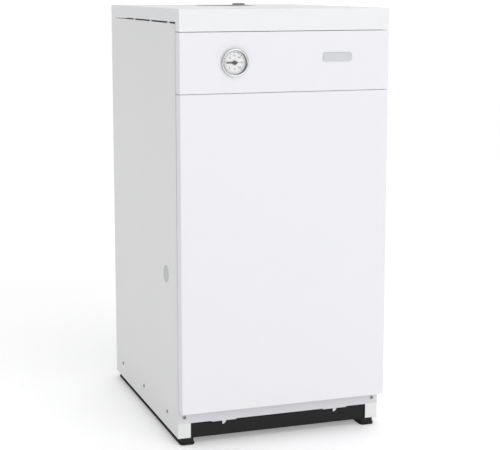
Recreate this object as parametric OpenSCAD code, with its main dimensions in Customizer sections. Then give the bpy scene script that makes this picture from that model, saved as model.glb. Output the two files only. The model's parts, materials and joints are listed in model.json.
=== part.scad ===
// Floor-standing atmospheric gas boiler: steel casing on two skids, water-jacketed
// boiler body with fire tubes, draught hood, burner assembly with gas valve and pilot.
// Millimetres. +Z up, -Y is the front, origin on the floor at the centre of the outline.

/* [Casing] */
// Width over the side panels
case_w = 425; // [360:5:520]
// Depth from the door's face to the back panel
case_d = 540; // [460:5:660]
// Height from the floor to the top of the lid
case_h = 850; // [700:5:1020]
// Thickness of the casing sheet
sheet = 1; // [0.8:0.1:1.6]
// Height of the side panels' lower edge above the floor
panel_z = 15; // [15:1:30]
// Depth of the folded sides of the door, the control panel and the lid's front
front_depth = 26; // [20:1:34]
// Space between the door's folded sides and the side panels
front_gap = 4; // [3:0.5:8]
// Width of the side panels' front flanges
flange_w = 26; // [22:1:34]
// Width of the seam between the lid and the control panel
seam = 1; // [0.8:0.1:4]
// Width of the seam between the control panel and the door
door_seam = 0.7; // [0.6:0.1:4]
// Height of the lid's front skirt
lid_front_h = 42; // [36:1:60]
// Height of the lid's side skirts
lid_side_h = 24.5; // [20:0.5:34]
// Height of the lugs that carry the lid
lug_h = 3; // [2:0.5:5]
// Length of each lug
lug_l = 12; // [8:1:20]
// Distance from one lug to the next
lug_pitch = 130; // [110:5:160]
// Height of the control panel
control_h = 115; // [95:1:140]
// Height of the door's lower edge above the floor
door_z = 72; // [66:1:95]
// Diameter of the side panels' pipe holes
side_hole_d = 30; // [24:1:36]

/* [Base] */
// Thickness of the base tray's sheet
tray_t = 1.5; // [1:0.1:2.5]
// Height of the skids
skid_h = 13; // [12:1:15]
// Width of the skids' feet
skid_w = 30; // [24:1:40]
// Distance from a side panel's face in to the skid's foot
skid_inset = 5.5; // [5:0.5:12]
// Height of the front rail's lower edge
rail_z = 45; // [34:1:50]
// Distance of the rail's hooks from the middle
hook_x = 118; // [90:1:130]

/* [Thermometer] */
// Diameter of the bezel
bezel_d = 53.4; // [50:0.1:70]
// Diameter of the panel cut-out
cutout_d = 48.5; // [44:0.5:60]
// Distance of the thermometer's centre from the middle of the panel
gauge_off = 104.5; // [80:0.5:130]
// Depth of the thermometer's case behind the panel
gauge_depth = 38; // [30:1:50]

/* [Boiler body] */
// Steel plate of the boiler body
plate_t = 3; // [2.5:0.5:5]
// Water space between two plates
water_gap = 22; // [18:1:30]
// Height of the body's underside above the floor
body_z = 150; // [140:1:170]
// Height of the combustion chamber
chamber_h = 230; // [180:5:260]
// Inside diameter of a fire tube
tube_d = 54; // [40:1:60]
// Distance from the casing's inside to the body's side
side_gap = 46; // [40:1:60]
// Distance from the door's face to the body's front
body_front = 108; // [106:1:130]
// Distance from the body's back to the casing's back
body_back = 65; // [55:1:80]
// Space above the body for the flue parts
hood_space = 160; // [150:1:190]
// Thickness of the insulation
wool_t = 28; // [15:1:34]
// Outside diameter of the heating pipes' thread
water_d = 33.2; // [26:0.1:34]
// Outside diameter of the gas pipe's thread
gas_d = 21; // [17:0.1:21]
// Distance that the pipes stand out of the back
stub_out = 35; // [30:1:50]

/* [Flue] */
// Inside diameter of the flue collar
flue_d = 130; // [100:1:156]
// Distance from the casing's back to the flue's centre
flue_back = 160; // [140:1:200]
// Sheet of the flue parts
flue_t = 1.2; // [1:0.1:2]

/* [Burner] */
// Width of a burner bar
bar_w = 34; // [26:1:40]
// Distance from one burner bar to the next
bar_pitch = 85; // [75:1:90]
// Outside diameter of the gas manifold
manifold_d = 22; // [18:1:24]

/* [Hidden] */
$fn = 48;

fit = 0.05;                  // running clearance of a shaft in its hole
slack = 0.3;                 // clearance between parts that only meet
cut = 1;                     // how far a cutting shape runs past a face

// Casing planes
half_w = case_w / 2;
bezel_h = 6.5;
front_y = -(case_d + stub_out - bezel_h) / 2;
back_y = front_y + case_d;
panel_y = front_y + front_depth + front_gap;
flange_y = panel_y + sheet;
rail_y = panel_y - sheet;
inner_x = half_w - sheet;
rear_flange = 18;
ball_r = 3;

// Heights
lid_z = case_h - lid_front_h;
control_z1 = lid_z - seam;
control_z0 = control_z1 - control_h;
door_z1 = control_z0 - door_seam;
panel_z1 = case_h - lid_side_h - lug_h;
front_fold = 20;             // depth of the upper and lower folds of the front parts
door_fold = 14;              // width of the fold behind the door's sides

// Screws of the casing
screw_r = 2;
head_r = 4;
head_h = 1.8;
screw_z = panel_z + 33;
rail_screw_z = rail_z + 12.5;
flange_mid = half_w - flange_w / 2;
side_screw_y = [front_y + 106, (front_y + back_y + 40) / 2, back_y - 66];
back_screw_z = [for (i = [0:3]) panel_z + 60 + i * (panel_z1 - panel_z - 120) / 3];
panel_screw_x = half_w - 62;

// Base
tray_x = inner_x - slack;
tray_y0 = flange_y + 3;
tray_y1 = back_y - 2 * sheet - slack;
tray_h = 49;
tray_top = skid_h + tray_t;
rail_z1 = door_z - 2;
hook_w = 7;
hook_h = 6.5;
lip_w = 51;
lip_h = 1.7;

// Boiler body
wall = 2 * plate_t + water_gap;
body_x = inner_x - side_gap;
body_y0 = front_y + body_front;
body_y1 = back_y - body_back;
body_z1 = case_h - hood_space;
chamber_x = body_x - wall;
chamber_y1 = body_y1 - wall;
chamber_z1 = body_z + chamber_h;
tube_n = 3;
tube_r = tube_d / 2;
tube_px = 2 * chamber_x / tube_n;
tube_py = (chamber_y1 - body_y0) / tube_n;
tube_xs = [for (i = [0:tube_n - 1]) (i - (tube_n - 1) / 2) * tube_px];
tube_ys = [for (i = [0:tube_n - 1]) body_y0 + (i + 0.5) * tube_py];
socket_l = 14;
pipe_x = -half_w + 112;
flow_z = body_z1 - 60;
return_z = body_z + 62;
water_r = water_d / 2;
water_bore_r = water_r - 3.4;
pocket_x = tube_px / 2;
pocket_z = body_z1 - 90;
pocket_r = 6;
stand_w = 30;
stand_t = 3;

// Burner
bar_z = body_z - 12;
bar_r = bar_w / 2;
bar_top = bar_z + 50;
bar_t = 1;
bar_y0 = body_y0 - 22;
bar_y1 = chamber_y1 - 12;
bar_mid = (bar_z + bar_top) / 2;
bar_xs = [-bar_pitch, 0, bar_pitch];
mouth_r = 12;
port_pitch = 9;
frame_z0 = bar_z - 14;
frame_z1 = body_z - stand_t;
frame_t = 2;
frame_x = body_x - stand_t - stand_w - 1.5;
manifold_r = manifold_d / 2;
manifold_y = bar_y0 - 36;
manifold_x = bar_pitch + 25;
plate_z0 = bar_top + 17;
plate_z1 = chamber_z1 + 15;
plate_x = body_x - 8;
gasket_t = 3;
cover_t = 2;
sight_x = -chamber_x / 2;
sight_z = (plate_z0 + plate_z1) / 2 + 12;
sight_r = 9;

// Gas valve and its neighbours
gas_r = gas_d / 2;
valve_x = 70;
valve_z = bar_mid - 58;
valve_w = 90;
valve_h = 64;
valve_y0 = manifold_y - 14;
valve_y1 = manifold_y + 36;
knob_r = 19;
knob_travel = 5;
knob_h = 15;
turret_y = valve_y0 - 4;
knob_y1 = turret_y - knob_travel - 0.5;
gas_x = half_w - 34.5;
gas_pipe_r = gas_r + 0.18;
thread_l = 20;
branch_x = valve_x - valve_w / 2 - 30;
piezo_x = -60;
piezo_r = 9;
piezo_travel = 6;
fitting_y = manifold_y + 24;
pilot_x = bar_pitch / 2;
pilot_y = body_y0 + 14;

// Flue
flue_y = back_y - flue_back;
flue_r = flue_d / 2;
collector_z1 = body_z1 + 45;
neck_z1 = collector_z1 + 15;
hood_z1 = case_h - 50;
hood_x = flue_r + 35;
hood_y = flue_r + 15;
collar_z1 = case_h - 0.5;
cap_x = 70;
cap_y = back_y - 45;
cap_r = 14.5;

// Thermometer
gauge_x = -gauge_off;
gauge_z = (control_z0 + control_z1) / 2;
bezel_r = bezel_d / 2;
cutout_r = cutout_d / 2;
case_r = cutout_r - 0.4;
dial_y = front_y + 1.5;
dial_r = case_r - 1.2 - 0.2;
spindle_r = 1;

// Drain cock
drain_x = 60;
drain_z = body_z + 25;
drain_r = 8;
lever_y = back_y + 11;
lever_z = drain_z + 13;

// Box between two opposite corners.
module block(a, b) {
    translate(a) cube(b - a);
}

// Cylinders along X, Y and Z.
module rod_x(y, z, x0, x1, r) {
    translate([x0, y, z]) rotate([0, 90, 0]) cylinder(r = r, h = x1 - x0);
}

module rod_y(x, z, y0, y1, r) {
    translate([x, y0, z]) rotate([-90, 0, 0]) cylinder(r = r, h = y1 - y0);
}

module rod_z(x, y, z0, z1, r) {
    translate([x, y, z0]) cylinder(r = r, h = z1 - z0);
}

// Hexagon bar along Y, measured across its corners.
module hex_y(x, z, y0, y1, r) {
    translate([x, y0, z]) rotate([-90, 0, 0]) cylinder(r = r, h = y1 - y0, $fn = 6);
}

// Both sides of the casing.
module both_sides() {
    children();
    mirror([1, 0, 0]) children();
}

// Round bar that follows a list of points; the bends are slightly fuller than the bar.
module route(points, r) {
    for (i = [0:len(points) - 2]) {
        d = points[i + 1] - points[i];
        translate(points[i])
            rotate([0, acos(d.z / norm(d)), atan2(d.y, d.x)])
                cylinder(r = r, h = norm(d));
    }
    for (i = [1:len(points) - 2]) translate(points[i]) sphere(r = r * 1.12);
}

// Pan-head screw: head on the outside at the origin, shank along +Y.
module screw_y(x, y, z, l) {
    rod_y(x, z, y - head_h, y, head_r);
    rod_y(x, z, y, y + l, screw_r);
}

// Outline with round corners, standing on its own centre.
module round_rect(w, l, r) {
    square([w - 2 * r, l], center = true);
    square([w, l - 2 * r], center = true);
    for (x = [-1, 1], y = [-1, 1])
        translate([x * (w / 2 - r), y * (l / 2 - r)]) circle(r = r);
}

// ---- Base ----

module skid() {
    y0 = panel_y + 1;
    y1 = back_y - 0.5;
    x = -half_w + skid_inset + skid_w / 2;
    color("dimgray") {
        translate([x, (y0 + y1) / 2, 0]) linear_extrude(4) round_rect(skid_w, y1 - y0, 8);
        translate([x, (y0 + y1) / 2, 4])
            linear_extrude(skid_h - 4) round_rect(skid_w - 4, y1 - y0 - 3, 6);
    }
}

module skid_left() {
    skid();
}

module skid_right() {
    mirror([1, 0, 0]) skid();
}

module base_tray() {
    air_l = (tray_y1 - tray_y0 - 160) / 2;
    color("dimgray") difference() {
        block([-tray_x, tray_y0, skid_h], [tray_x, tray_y1, skid_h + tray_h]);
        block([-tray_x + tray_t, tray_y0 + tray_t, tray_top],
              [tray_x - tray_t, tray_y1 - tray_t, skid_h + tray_h + cut]);
        for (x = [-100:40:100], y = [tray_y0 + 50, tray_y1 - 50 - air_l])
            block([x - 6, y, skid_h - cut], [x + 6, y + air_l, tray_top + cut]);
        both_sides() for (y = side_screw_y)
            rod_x(y, screw_z, tray_x - tray_t - cut, tray_x + cut, screw_r + 0.1);
        rod_y(gas_x, valve_z, tray_y1 - tray_t - cut, tray_y1 + cut, gas_r + 2);
    }
}

// Lower cross rail: lips and hooks on its lower edge, a stiffening fold on its upper one.
module front_rail() {
    end_x = half_w - 0.5;
    color("whitesmoke") difference() {
        union() {
            translate([0, panel_y, 0]) rotate([90, 0, 0]) linear_extrude(sheet) {
                translate([-end_x, rail_z]) square([2 * end_x, rail_z1 - rail_z]);
                for (s = [-1, 1]) {
                    translate([s * hook_x - lip_w / 2, rail_z - lip_h]) square([lip_w, lip_h + cut]);
                    translate([s * hook_x, rail_z - lip_h])
                        polygon([[-hook_w / 2, cut], [hook_w / 2, cut], [hook_w / 2, -hook_h * 0.45],
                                 [-hook_w * 0.1, -hook_h], [-hook_w / 2, -hook_h]]);
                }
            }
            block([-half_w + flange_w + 1.5, panel_y, rail_z1 - sheet],
                  [half_w - flange_w - 1.5, panel_y + 11, rail_z1]);
        }
        for (s = [-1, 1]) rod_y(s * flange_mid, rail_screw_z, rail_y - cut, panel_y + cut, screw_r + 0.1);
    }
}

// ---- Casing ----

module side_panel() {
    wide = [front_y + side_screw_y[2] - front_y + 20, back_y];
    color("whitesmoke") difference() {
        union() {
            difference() {
                block([-half_w, panel_y, panel_z], [-half_w + flange_w, back_y, panel_z1]);
                block([-half_w + sheet, panel_y + sheet, panel_z - cut],
                      [-half_w + flange_w + cut, back_y - sheet, panel_z1 - sheet]);
                block([-half_w + rear_flange, panel_y + sheet, panel_z - cut],
                      [-half_w + flange_w + cut, back_y + cut, panel_z1 + cut]);
            }
            for (i = [0:2]) {
                y = front_y + 74 + i * lug_pitch;
                block([-half_w, y - lug_l / 2, panel_z1 - sheet],
                      [-half_w + sheet, y + lug_l / 2, panel_z1 + lug_h - slack]);
            }
            block([-half_w, wide[0], panel_z1 - sheet], [-half_w + sheet, wide[1], panel_z1 + lug_h - slack]);
        }
        for (y = side_screw_y) rod_x(y, screw_z, -half_w - cut, -half_w + sheet + cut, screw_r + 0.1);
        rod_x(side_screw_y[0], side_hole_z(), -half_w - cut, -half_w + sheet + cut, side_hole_d / 2);
        for (z = back_screw_z)
            rod_y(-half_w + rear_flange / 2 + 1, z, back_y - sheet - cut, back_y + cut, screw_r + 0.1);
        for (z = [rail_screw_z, door_bar_z(), top_bar_z()])
            rod_y(-flange_mid, z, panel_y - cut, flange_y + cut, screw_r + 0.1);
        for (z = stud_zs()) rod_y(-stud_x(), z, panel_y - cut, flange_y + cut, 3.5);
    }
}

function side_hole_z() = (panel_z + panel_z1) / 2 - 89;
function door_bar_z() = control_z0 - 13;
function top_bar_z() = control_z1 - 14;
function stud_x() = half_w - 9.5;
function stud_zs() = [door_z + 60, door_z1 - 45];

module side_panel_left() {
    side_panel();
}

module side_panel_right() {
    mirror([1, 0, 0]) side_panel();
}

module back_panel() {
    x1 = inner_x - 1;
    color("gainsboro") difference() {
        block([-x1, back_y - 2 * sheet, panel_z], [x1, back_y - sheet, panel_z1 - sheet]);
        for (z = back_screw_z, s = [-1, 1])
            rod_y(s * (half_w - rear_flange / 2 - 1), z, back_y - 3 * sheet, back_y, screw_r + 0.1);
        for (z = [flow_z, return_z])
            rod_y(pipe_x, z, back_y - 3 * sheet, back_y, water_r + 2.5);
        rod_y(drain_x, drain_z, back_y - 3 * sheet, back_y, drain_r + 2);
        rod_y(gas_x, valve_z, back_y - 3 * sheet, back_y, gas_r + 2);
        for (i = [0:5], s = [-1, 1])
            block([s * 85 - 60, back_y - 3 * sheet, collector_z1 + 2 + i * 12],
                  [s * 85 + 60, back_y, collector_z1 + 8 + i * 12]);
    }
}

// Cross bar between the control panel and the door, with slots for the panel's tongues.
module door_crossbar() {
    color("gainsboro") difference() {
        block([-half_w + 2, rail_y, control_z0 - 26], [half_w - 2, panel_y, control_z0 + 7]);
        for (s = [-1, 1]) {
            block([s * hook_x - 11, rail_y - cut, control_z0 - slack],
                  [s * hook_x + 11, panel_y + cut, control_z0 + sheet + slack]);
            rod_y(s * flange_mid, door_bar_z(), rail_y - cut, panel_y + cut, screw_r + 0.1);
        }
    }
}

// Upper cross bar; its forward fold carries the control panel's top edge.
module top_crossbar() {
    z1 = control_z1 - sheet;
    color("gainsboro") difference() {
        union() {
            block([-half_w + 2, rail_y, z1 - 26], [half_w - 2, panel_y, z1]);
            block([-half_w + 5, front_y + 6, z1 - sheet], [half_w - 5, panel_y, z1]);
        }
        for (s = [-1, 1]) {
            rod_y(s * flange_mid, top_bar_z(), rail_y - cut, panel_y + cut, screw_r + 0.1);
            rod_z(s * panel_screw_x, front_y + 13, z1 - 3 * sheet, z1 + cut, screw_r + 0.1);
        }
    }
}

module lid() {
    color("whitesmoke") difference() {
        block([-half_w, front_y, lid_z], [half_w, back_y, case_h]);
        block([-inner_x, front_y + sheet, lid_z - cut], [inner_x, back_y - sheet, case_h - sheet]);
        block([-half_w - cut, front_y + front_depth, lid_z - cut],
              [half_w + cut, back_y + cut, case_h - lid_side_h]);
        rod_z(0, flue_y, case_h - 2 * sheet, case_h + cut, flue_r + flue_t + 1.5);
        rod_z(cap_x, cap_y, case_h - 2 * sheet, case_h + cut, cap_r - 2.5);
    }
    color("whitesmoke")
        block([-inner_x, front_y + sheet, lid_z], [inner_x, front_y + 8, lid_z + sheet]);
}

module lid_cap() {
    color("dimgray") difference() {
        union() {
            rod_z(cap_x, cap_y, case_h, case_h + 2, cap_r);
            rod_z(cap_x, cap_y, case_h + 2, case_h + 3, cap_r - 3);
            rod_z(cap_x, cap_y, case_h - 7, case_h, cap_r - 2.7);
        }
        rod_z(cap_x, cap_y, case_h - 8, case_h, cap_r - 4.5);
    }
}

module control_panel() {
    color("whitesmoke") difference() {
        union() {
            difference() {
                block([-half_w, front_y, control_z0], [half_w, front_y + front_depth, control_z1]);
                block([-inner_x, front_y + sheet, control_z0 + sheet],
                      [inner_x, front_y + front_depth + cut, control_z1 - sheet]);
                block([-inner_x, front_y + front_fold, control_z0 - cut],
                      [inner_x, front_y + front_depth + cut, control_z1 + cut]);
            }
            for (s = [-1, 1])
                block([s * hook_x - 10, front_y + front_fold - cut, control_z0],
                      [s * hook_x + 10, panel_y + 3, control_z0 + sheet]);
        }
        rod_y(gauge_x, gauge_z, front_y - cut, front_y + sheet + cut, cutout_r);
        for (s = [-1, 1])
            rod_z(s * panel_screw_x, front_y + 13, control_z1 - 2 * sheet, control_z1 + cut, screw_r + 0.1);
    }
}

module badge() {
    color("silver") translate([gauge_off, front_y, gauge_z + 7]) rotate([90, 0, 0])
        linear_extrude(1.2) round_rect(60, 18, 5);
}

module front_door() {
    color("whitesmoke") difference() {
        block([-half_w, front_y, door_z], [half_w, front_y + front_depth, door_z1]);
        block([-inner_x, front_y + sheet, door_z + sheet],
              [inner_x, front_y + front_depth - sheet, door_z1 - sheet]);
        block([-half_w + door_fold, front_y + sheet, door_z + sheet],
              [half_w - door_fold, front_y + front_depth + cut, door_z1 - sheet]);
        block([-half_w + door_fold, front_y + front_fold, door_z - cut],
              [half_w - door_fold, front_y + front_depth + cut, door_z1 + cut]);
        for (z = stud_zs(), s = [-1, 1])
            rod_y(s * stud_x(), z, front_y + front_depth - 2 * sheet, front_y + front_depth + cut, 2.1);
    }
}

// Soft insulating pad inside the door.
module door_pad() {
    color("darkgray")
        block([-half_w + 34, front_y + sheet, plate_z0 - 20], [half_w - 34, front_y + 9, door_z1 - 60]);
}

// Ball studs of the door, one at each corner.
module door_studs() {
    y = front_y + front_depth;
    color("silver") for (z = stud_zs(), s = [-1, 1]) {
        rod_y(s * stud_x(), z, y - sheet - 2, y - sheet, 4.2);
        rod_y(s * stud_x(), z, y - sheet, y + front_gap + 6, 2);
        translate([s * stud_x(), y + front_gap + 6, z]) sphere(r = ball_r);
    }
}

// Plastic clips that hold the ball studs.
module door_clips() {
    color("white") for (z = stud_zs(), s = [-1, 1]) difference() {
        union() {
            rod_y(s * stud_x(), z, flange_y, flange_y + 9, 6);
            rod_y(s * stud_x(), z, flange_y, flange_y + 1.5, 7.5);
        }
        rod_y(s * stud_x(), z, flange_y - cut, flange_y + 9 + cut, ball_r + fit);
    }
}

// Push-in plugs for the side panels' pipe holes.
module side_plugs() {
    y = side_screw_y[0];
    z = side_hole_z();
    r = side_hole_d / 2;
    color("lightgray") both_sides() difference() {
        union() {
            rod_x(y, z, half_w, half_w + 0.8, r + 2.5);
            rod_x(y, z, half_w - 7, half_w, r - 0.3);
        }
        rod_x(y, z, half_w - 8, half_w - 0.6, r - 2);
    }
}

// Every screw of the casing.
module casing_screws() {
    color("silver") {
        both_sides() for (y = side_screw_y) {
            rod_x(y, screw_z, half_w, half_w + head_h, head_r);
            rod_x(y, screw_z, half_w - 7, half_w, screw_r);
        }
        for (s = [-1, 1]) {
            for (z = [rail_screw_z, door_bar_z(), top_bar_z()])
                screw_y(s * flange_mid, rail_y, z, 2.9);
            for (z = back_screw_z)
                mirror([0, 1, 0]) screw_y(s * (half_w - rear_flange / 2 - 1), -back_y, z, 4);
            rod_z(s * panel_screw_x, front_y + 13, control_z1, control_z1 + head_h, head_r);
            rod_z(s * panel_screw_x, front_y + 13, control_z1 - 6, control_z1, screw_r);
        }
    }
}

// ---- Thermometer ----

module gauge_case() {
    color("dimgray") difference() {
        union() {
            rod_y(gauge_x, gauge_z, front_y - 1.2, front_y, bezel_r - 0.7);
            rod_y(gauge_x, gauge_z, front_y, front_y + gauge_depth, case_r);
        }
        rod_y(gauge_x, gauge_z, front_y - 1.2 - cut, dial_y + 1.3, case_r - 1.2);
        rod_y(gauge_x, gauge_z, front_y, dial_y + 6, spindle_r + fit);
    }
}

module gauge_bezel() {
    color("silver") translate([gauge_x, front_y, gauge_z]) rotate([90, 0, 0]) rotate_extrude()
        polygon([[bezel_r - 0.6, 1.2], [bezel_r, 1.8], [bezel_r, 4.6], [bezel_r - 0.7, bezel_h - 0.6],
                 [bezel_r - 1.9, bezel_h], [bezel_r - 2.9, bezel_h - 0.3], [bezel_r - 4.1, 4.9],
                 [bezel_r - 4.1, 4.4], [bezel_r - 2.8, 4.4], [bezel_r - 2.8, 1.2]]);
}

module gauge_glass() {
    color("lightblue", 0.35) rod_y(gauge_x, gauge_z, front_y - 4.4, front_y - 2.8, bezel_r - 2.9);
}

module gauge_dial() {
    color("white") difference() {
        rod_y(gauge_x, gauge_z, dial_y, dial_y + 0.8, dial_r);
        rod_y(gauge_x, gauge_z, dial_y - cut, dial_y + 2, spindle_r + 0.4);
    }
}

// Pointer at rest on the second mark of the scale, to the left.
module gauge_pointer() {
    y = front_y - 0.6;
    color("black") {
        rod_y(gauge_x, gauge_z, y - 1, y + 0.9, 4.2);
        rod_y(gauge_x, gauge_z, y + 0.9, dial_y + 5, spindle_r);
        translate([gauge_x, y + 0.3, gauge_z]) rotate([90, 0, 0]) linear_extrude(0.6)
            polygon([[7, 1.1], [7, -1.1], [0, -1.5], [-14, -1.2], [-18.5, 0], [-14, 1.2], [0, 1.5]]);
    }
}

// Capillary from the thermometer to the bulb in the sensor pocket.
module gauge_capillary() {
    y0 = front_y + gauge_depth;
    color("peru") {
        route([[gauge_x, y0, gauge_z], [gauge_x, y0 + 14, gauge_z], [gauge_x + 3, y0 + 24, gauge_z - 15],
               [gauge_x + 12, y0 + 28, gauge_z - 62], [pocket_x - 40, y0 + 28, pocket_z + 40],
               [pocket_x - 12, y0 + 24, pocket_z + 14], [pocket_x, body_y0 - 32, pocket_z + 2],
               [pocket_x, body_y0 - 30, pocket_z], [pocket_x, body_y0 - 10, pocket_z]], 1);
        rod_y(pocket_x, pocket_z, body_y0 - 10, body_y0 + 50, 3.2);
    }
}

// ---- Boiler body ----

module heat_exchanger() {
    color("slategray") difference() {
        union() {
            block([-body_x, body_y0, body_z], [body_x, body_y1, body_z1]);
            for (z = [flow_z, return_z])
                rod_y(pipe_x, z, body_y1, body_y1 + socket_l, water_r + 5);
            rod_y(drain_x, drain_z, body_y1, body_y1 + socket_l, drain_r + 5);
            rod_y(pocket_x, pocket_z, body_y0 - 8, body_y0, pocket_r + 5);
        }
        // Combustion chamber, open in front and below
        block([-chamber_x, body_y0 - cut, body_z - cut], [chamber_x, chamber_y1, chamber_z1]);
        for (x = tube_xs, y = tube_ys) rod_z(x, y, chamber_z1 - cut, body_z1 + cut, tube_r);
        // Water space
        difference() {
            block([-body_x + plate_t, body_y0 + plate_t, body_z + plate_t],
                  [body_x - plate_t, body_y1 - plate_t, body_z1 - plate_t]);
            block([-chamber_x - plate_t, body_y0, body_z],
                  [chamber_x + plate_t, chamber_y1 + plate_t, chamber_z1 + plate_t]);
            for (x = tube_xs, y = tube_ys) rod_z(x, y, chamber_z1, body_z1, tube_r + plate_t);
        }
        for (z = [flow_z, return_z])
            rod_y(pipe_x, z, body_y1 - 2 * plate_t, body_y1 + socket_l + cut, water_r + fit);
        rod_y(drain_x, drain_z, body_y1 - 2 * plate_t, body_y1 + socket_l + cut, drain_r + fit);
        rod_y(pocket_x, pocket_z, body_y0 - 8 - cut, body_y0 + 2 * plate_t, pocket_r + 1 + fit);
    }
}

// Baffle strips that hang in the fire tubes.
module turbulators() {
    n = 8;
    step = (body_z1 - chamber_z1 - 30) / n;
    swing = tube_r * 0.36;
    half = tube_r * 0.78;
    side = [for (i = [0:n]) [(i % 2 == 0 ? -1 : 1) * swing, body_z1 - i * step]];
    color("gray") for (x = tube_xs, y = tube_ys) translate([x, y, 0]) {
        rotate([90, 0, 90]) translate([0, 0, -half]) linear_extrude(2 * half)
            polygon(concat([for (p = side) [p[0] - 0.8, p[1]]],
                           [for (i = [n:-1:0]) [side[i][0] + 0.8, side[i][1]]]));
        block([-tube_r - 6, -swing - 5, body_z1], [tube_r + 6, -swing + 5, body_z1 + 2]);
    }
}

module sensor_pocket() {
    y0 = body_y0 - 8;
    color("goldenrod") difference() {
        union() {
            hex_y(pocket_x, pocket_z, y0 - 8, y0, 12);
            rod_y(pocket_x, pocket_z, y0, body_y0 + plate_t, pocket_r + 1);
            rod_y(pocket_x, pocket_z, body_y0 + plate_t, body_y0 + 60, pocket_r);
        }
        rod_y(pocket_x, pocket_z, y0 - 8 - cut, body_y0 + 57, pocket_r - 2);
    }
}

// Threaded heating pipe with its hexagon, one for the flow and one for the return.
module nipple(z) {
    y1 = back_y + stub_out;
    color("silver") difference() {
        union() {
            rod_y(pipe_x, z, body_y1 + 1, y1, water_r);
            hex_y(pipe_x, z, back_y + 3, back_y + 12, water_r + 5);
        }
        rod_y(pipe_x, z, body_y1, y1 + cut, water_bore_r);
    }
}

module flow_nipple() {
    nipple(flow_z);
}

module return_nipple() {
    nipple(return_z);
}

// Wool jacket round the body, open above, below and in front of the chamber.
module insulation_jacket() {
    front = body_y0 - 20;
    color("silver") difference() {
        block([-body_x - wool_t, front, body_z + 5], [body_x + wool_t, body_y1 + wool_t, body_z1 - 5]);
        block([-body_x - 0.5, body_y0 - 0.5, body_z], [body_x + 0.5, body_y1 + 0.5, body_z1]);
        block([-body_x - 0.5, front - cut, body_z], [body_x + 0.5, body_y0, plate_z1 + 8]);
        for (z = [flow_z, return_z]) rod_y(pipe_x, z, body_y1, body_y1 + wool_t + cut, water_r + 7);
        rod_y(drain_x, drain_z, body_y1, body_y1 + wool_t + cut, drain_r + 7);
        rod_y(pocket_x, pocket_z, front - cut, body_y0, 16);
    }
}

// Angle-iron stand: one rail with two legs under each side of the body.
module body_stand() {
    y1 = body_y1 - 10;
    y0 = body_y0 + 4;
    color("dimgray") both_sides() {
        difference() {
            block([body_x - stand_w, y0, body_z - stand_w], [body_x, y1, body_z]);
            block([body_x - stand_w - cut, y0 - cut, body_z - stand_w - cut],
                  [body_x - stand_t, y1 + cut, body_z - stand_t]);
        }
        for (y = [y0, y1 - stand_w]) difference() {
            block([body_x - stand_t - stand_w, y, tray_top], [body_x - stand_t, y + stand_w, body_z - stand_t]);
            block([body_x - 2 * stand_t - stand_w - cut, y + (y == y0 ? stand_t : -cut), tray_top + stand_t],
                  [body_x - 2 * stand_t, y + stand_w + (y == y0 ? cut : -stand_t), body_z]);
        }
    }
}

module drain_cock() {
    color("goldenrod") difference() {
        union() {
            rod_y(drain_x, drain_z, body_y1 + 1, back_y + 3, drain_r);
            hex_y(drain_x, drain_z, back_y + 3, back_y + 19, 12);
            rod_y(drain_x, drain_z, back_y + 19, back_y + 34, 6.5);
            rod_z(drain_x, lever_y, drain_z, lever_z - 1, 6);
        }
        rod_y(drain_x, drain_z, body_y1, back_y + 35, 4.5);
        rod_z(drain_x, lever_y, lever_z - 8, lever_z, 2.5 + fit);
    }
}

// Quarter-turn lever with its spindle.
module drain_lever() {
    color("crimson") {
        rod_z(drain_x, lever_y, lever_z - 7.5, lever_z, 2.5);
        translate([drain_x, lever_y, lever_z]) linear_extrude(2.5) {
            circle(r = 7);
            translate([0, -4.5]) square([34, 9]);
            translate([34, 0]) circle(r = 4.5);
        }
    }
}

// ---- Flue ----

module flue_collector() {
    x1 = body_x - 5;
    y0 = body_y0 + 4;
    y1 = body_y1 - 4;
    neck = [flue_r + 15, flue_r - 10];
    color("gainsboro") difference() {
        union() {
            block([-x1, y0, body_z1 + 2], [x1, y1, collector_z1]);
            block([-neck.x, flue_y - neck.y, collector_z1 - flue_t], [neck.x, flue_y + neck.y, neck_z1]);
        }
        block([-x1 + flue_t, y0 + flue_t, body_z1], [x1 - flue_t, y1 - flue_t, collector_z1 - flue_t]);
        block([-neck.x + flue_t, flue_y - neck.y + flue_t, body_z1],
              [neck.x - flue_t, flue_y + neck.y - flue_t, neck_z1 + cut]);
    }
}

// Hood over the collector's neck; its open front and back let room air in.
module draught_hood() {
    relief_z = neck_z1 + 12;
    color("gainsboro") difference() {
        block([-hood_x, flue_y - hood_y, collector_z1], [hood_x, flue_y + hood_y, hood_z1]);
        block([-hood_x + flue_t, flue_y - hood_y + flue_t, collector_z1 - cut],
              [hood_x - flue_t, flue_y + hood_y - flue_t, hood_z1 - flue_t]);
        block([-hood_x + flue_t, flue_y - hood_y - cut, collector_z1 - cut],
              [hood_x - flue_t, flue_y + hood_y + cut, relief_z]);
        rod_z(0, flue_y, hood_z1 - 2 * flue_t, hood_z1 + cut, flue_r - 3);
        rod_x(flue_y, (relief_z + hood_z1) / 2, hood_x - 2 * flue_t, hood_x + cut, 7);
    }
}

module flue_collar() {
    color("silver") difference() {
        union() {
            rod_z(0, flue_y, hood_z1, collar_z1, flue_r + flue_t);
            rod_z(0, flue_y, hood_z1, hood_z1 + flue_t, flue_r + 13);
        }
        rod_z(0, flue_y, hood_z1 - cut, collar_z1 + cut, flue_r);
    }
}

// Flue-gas safety thermostat on the hood's side, with its bracket and terminals.
module spill_thermostat() {
    z = (neck_z1 + 12 + hood_z1) / 2;
    color("black") {
        rod_x(flue_y, z, hood_x, hood_x + 7, 11);
        rod_x(flue_y, z, hood_x - 4, hood_x, 6.5);
        block([hood_x + 7, flue_y - 7, z - 2], [hood_x + 14, flue_y - 6, z + 2]);
        block([hood_x + 7, flue_y + 6, z - 2], [hood_x + 14, flue_y + 7, z + 2]);
    }
}

// ---- Burner assembly ----

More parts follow.
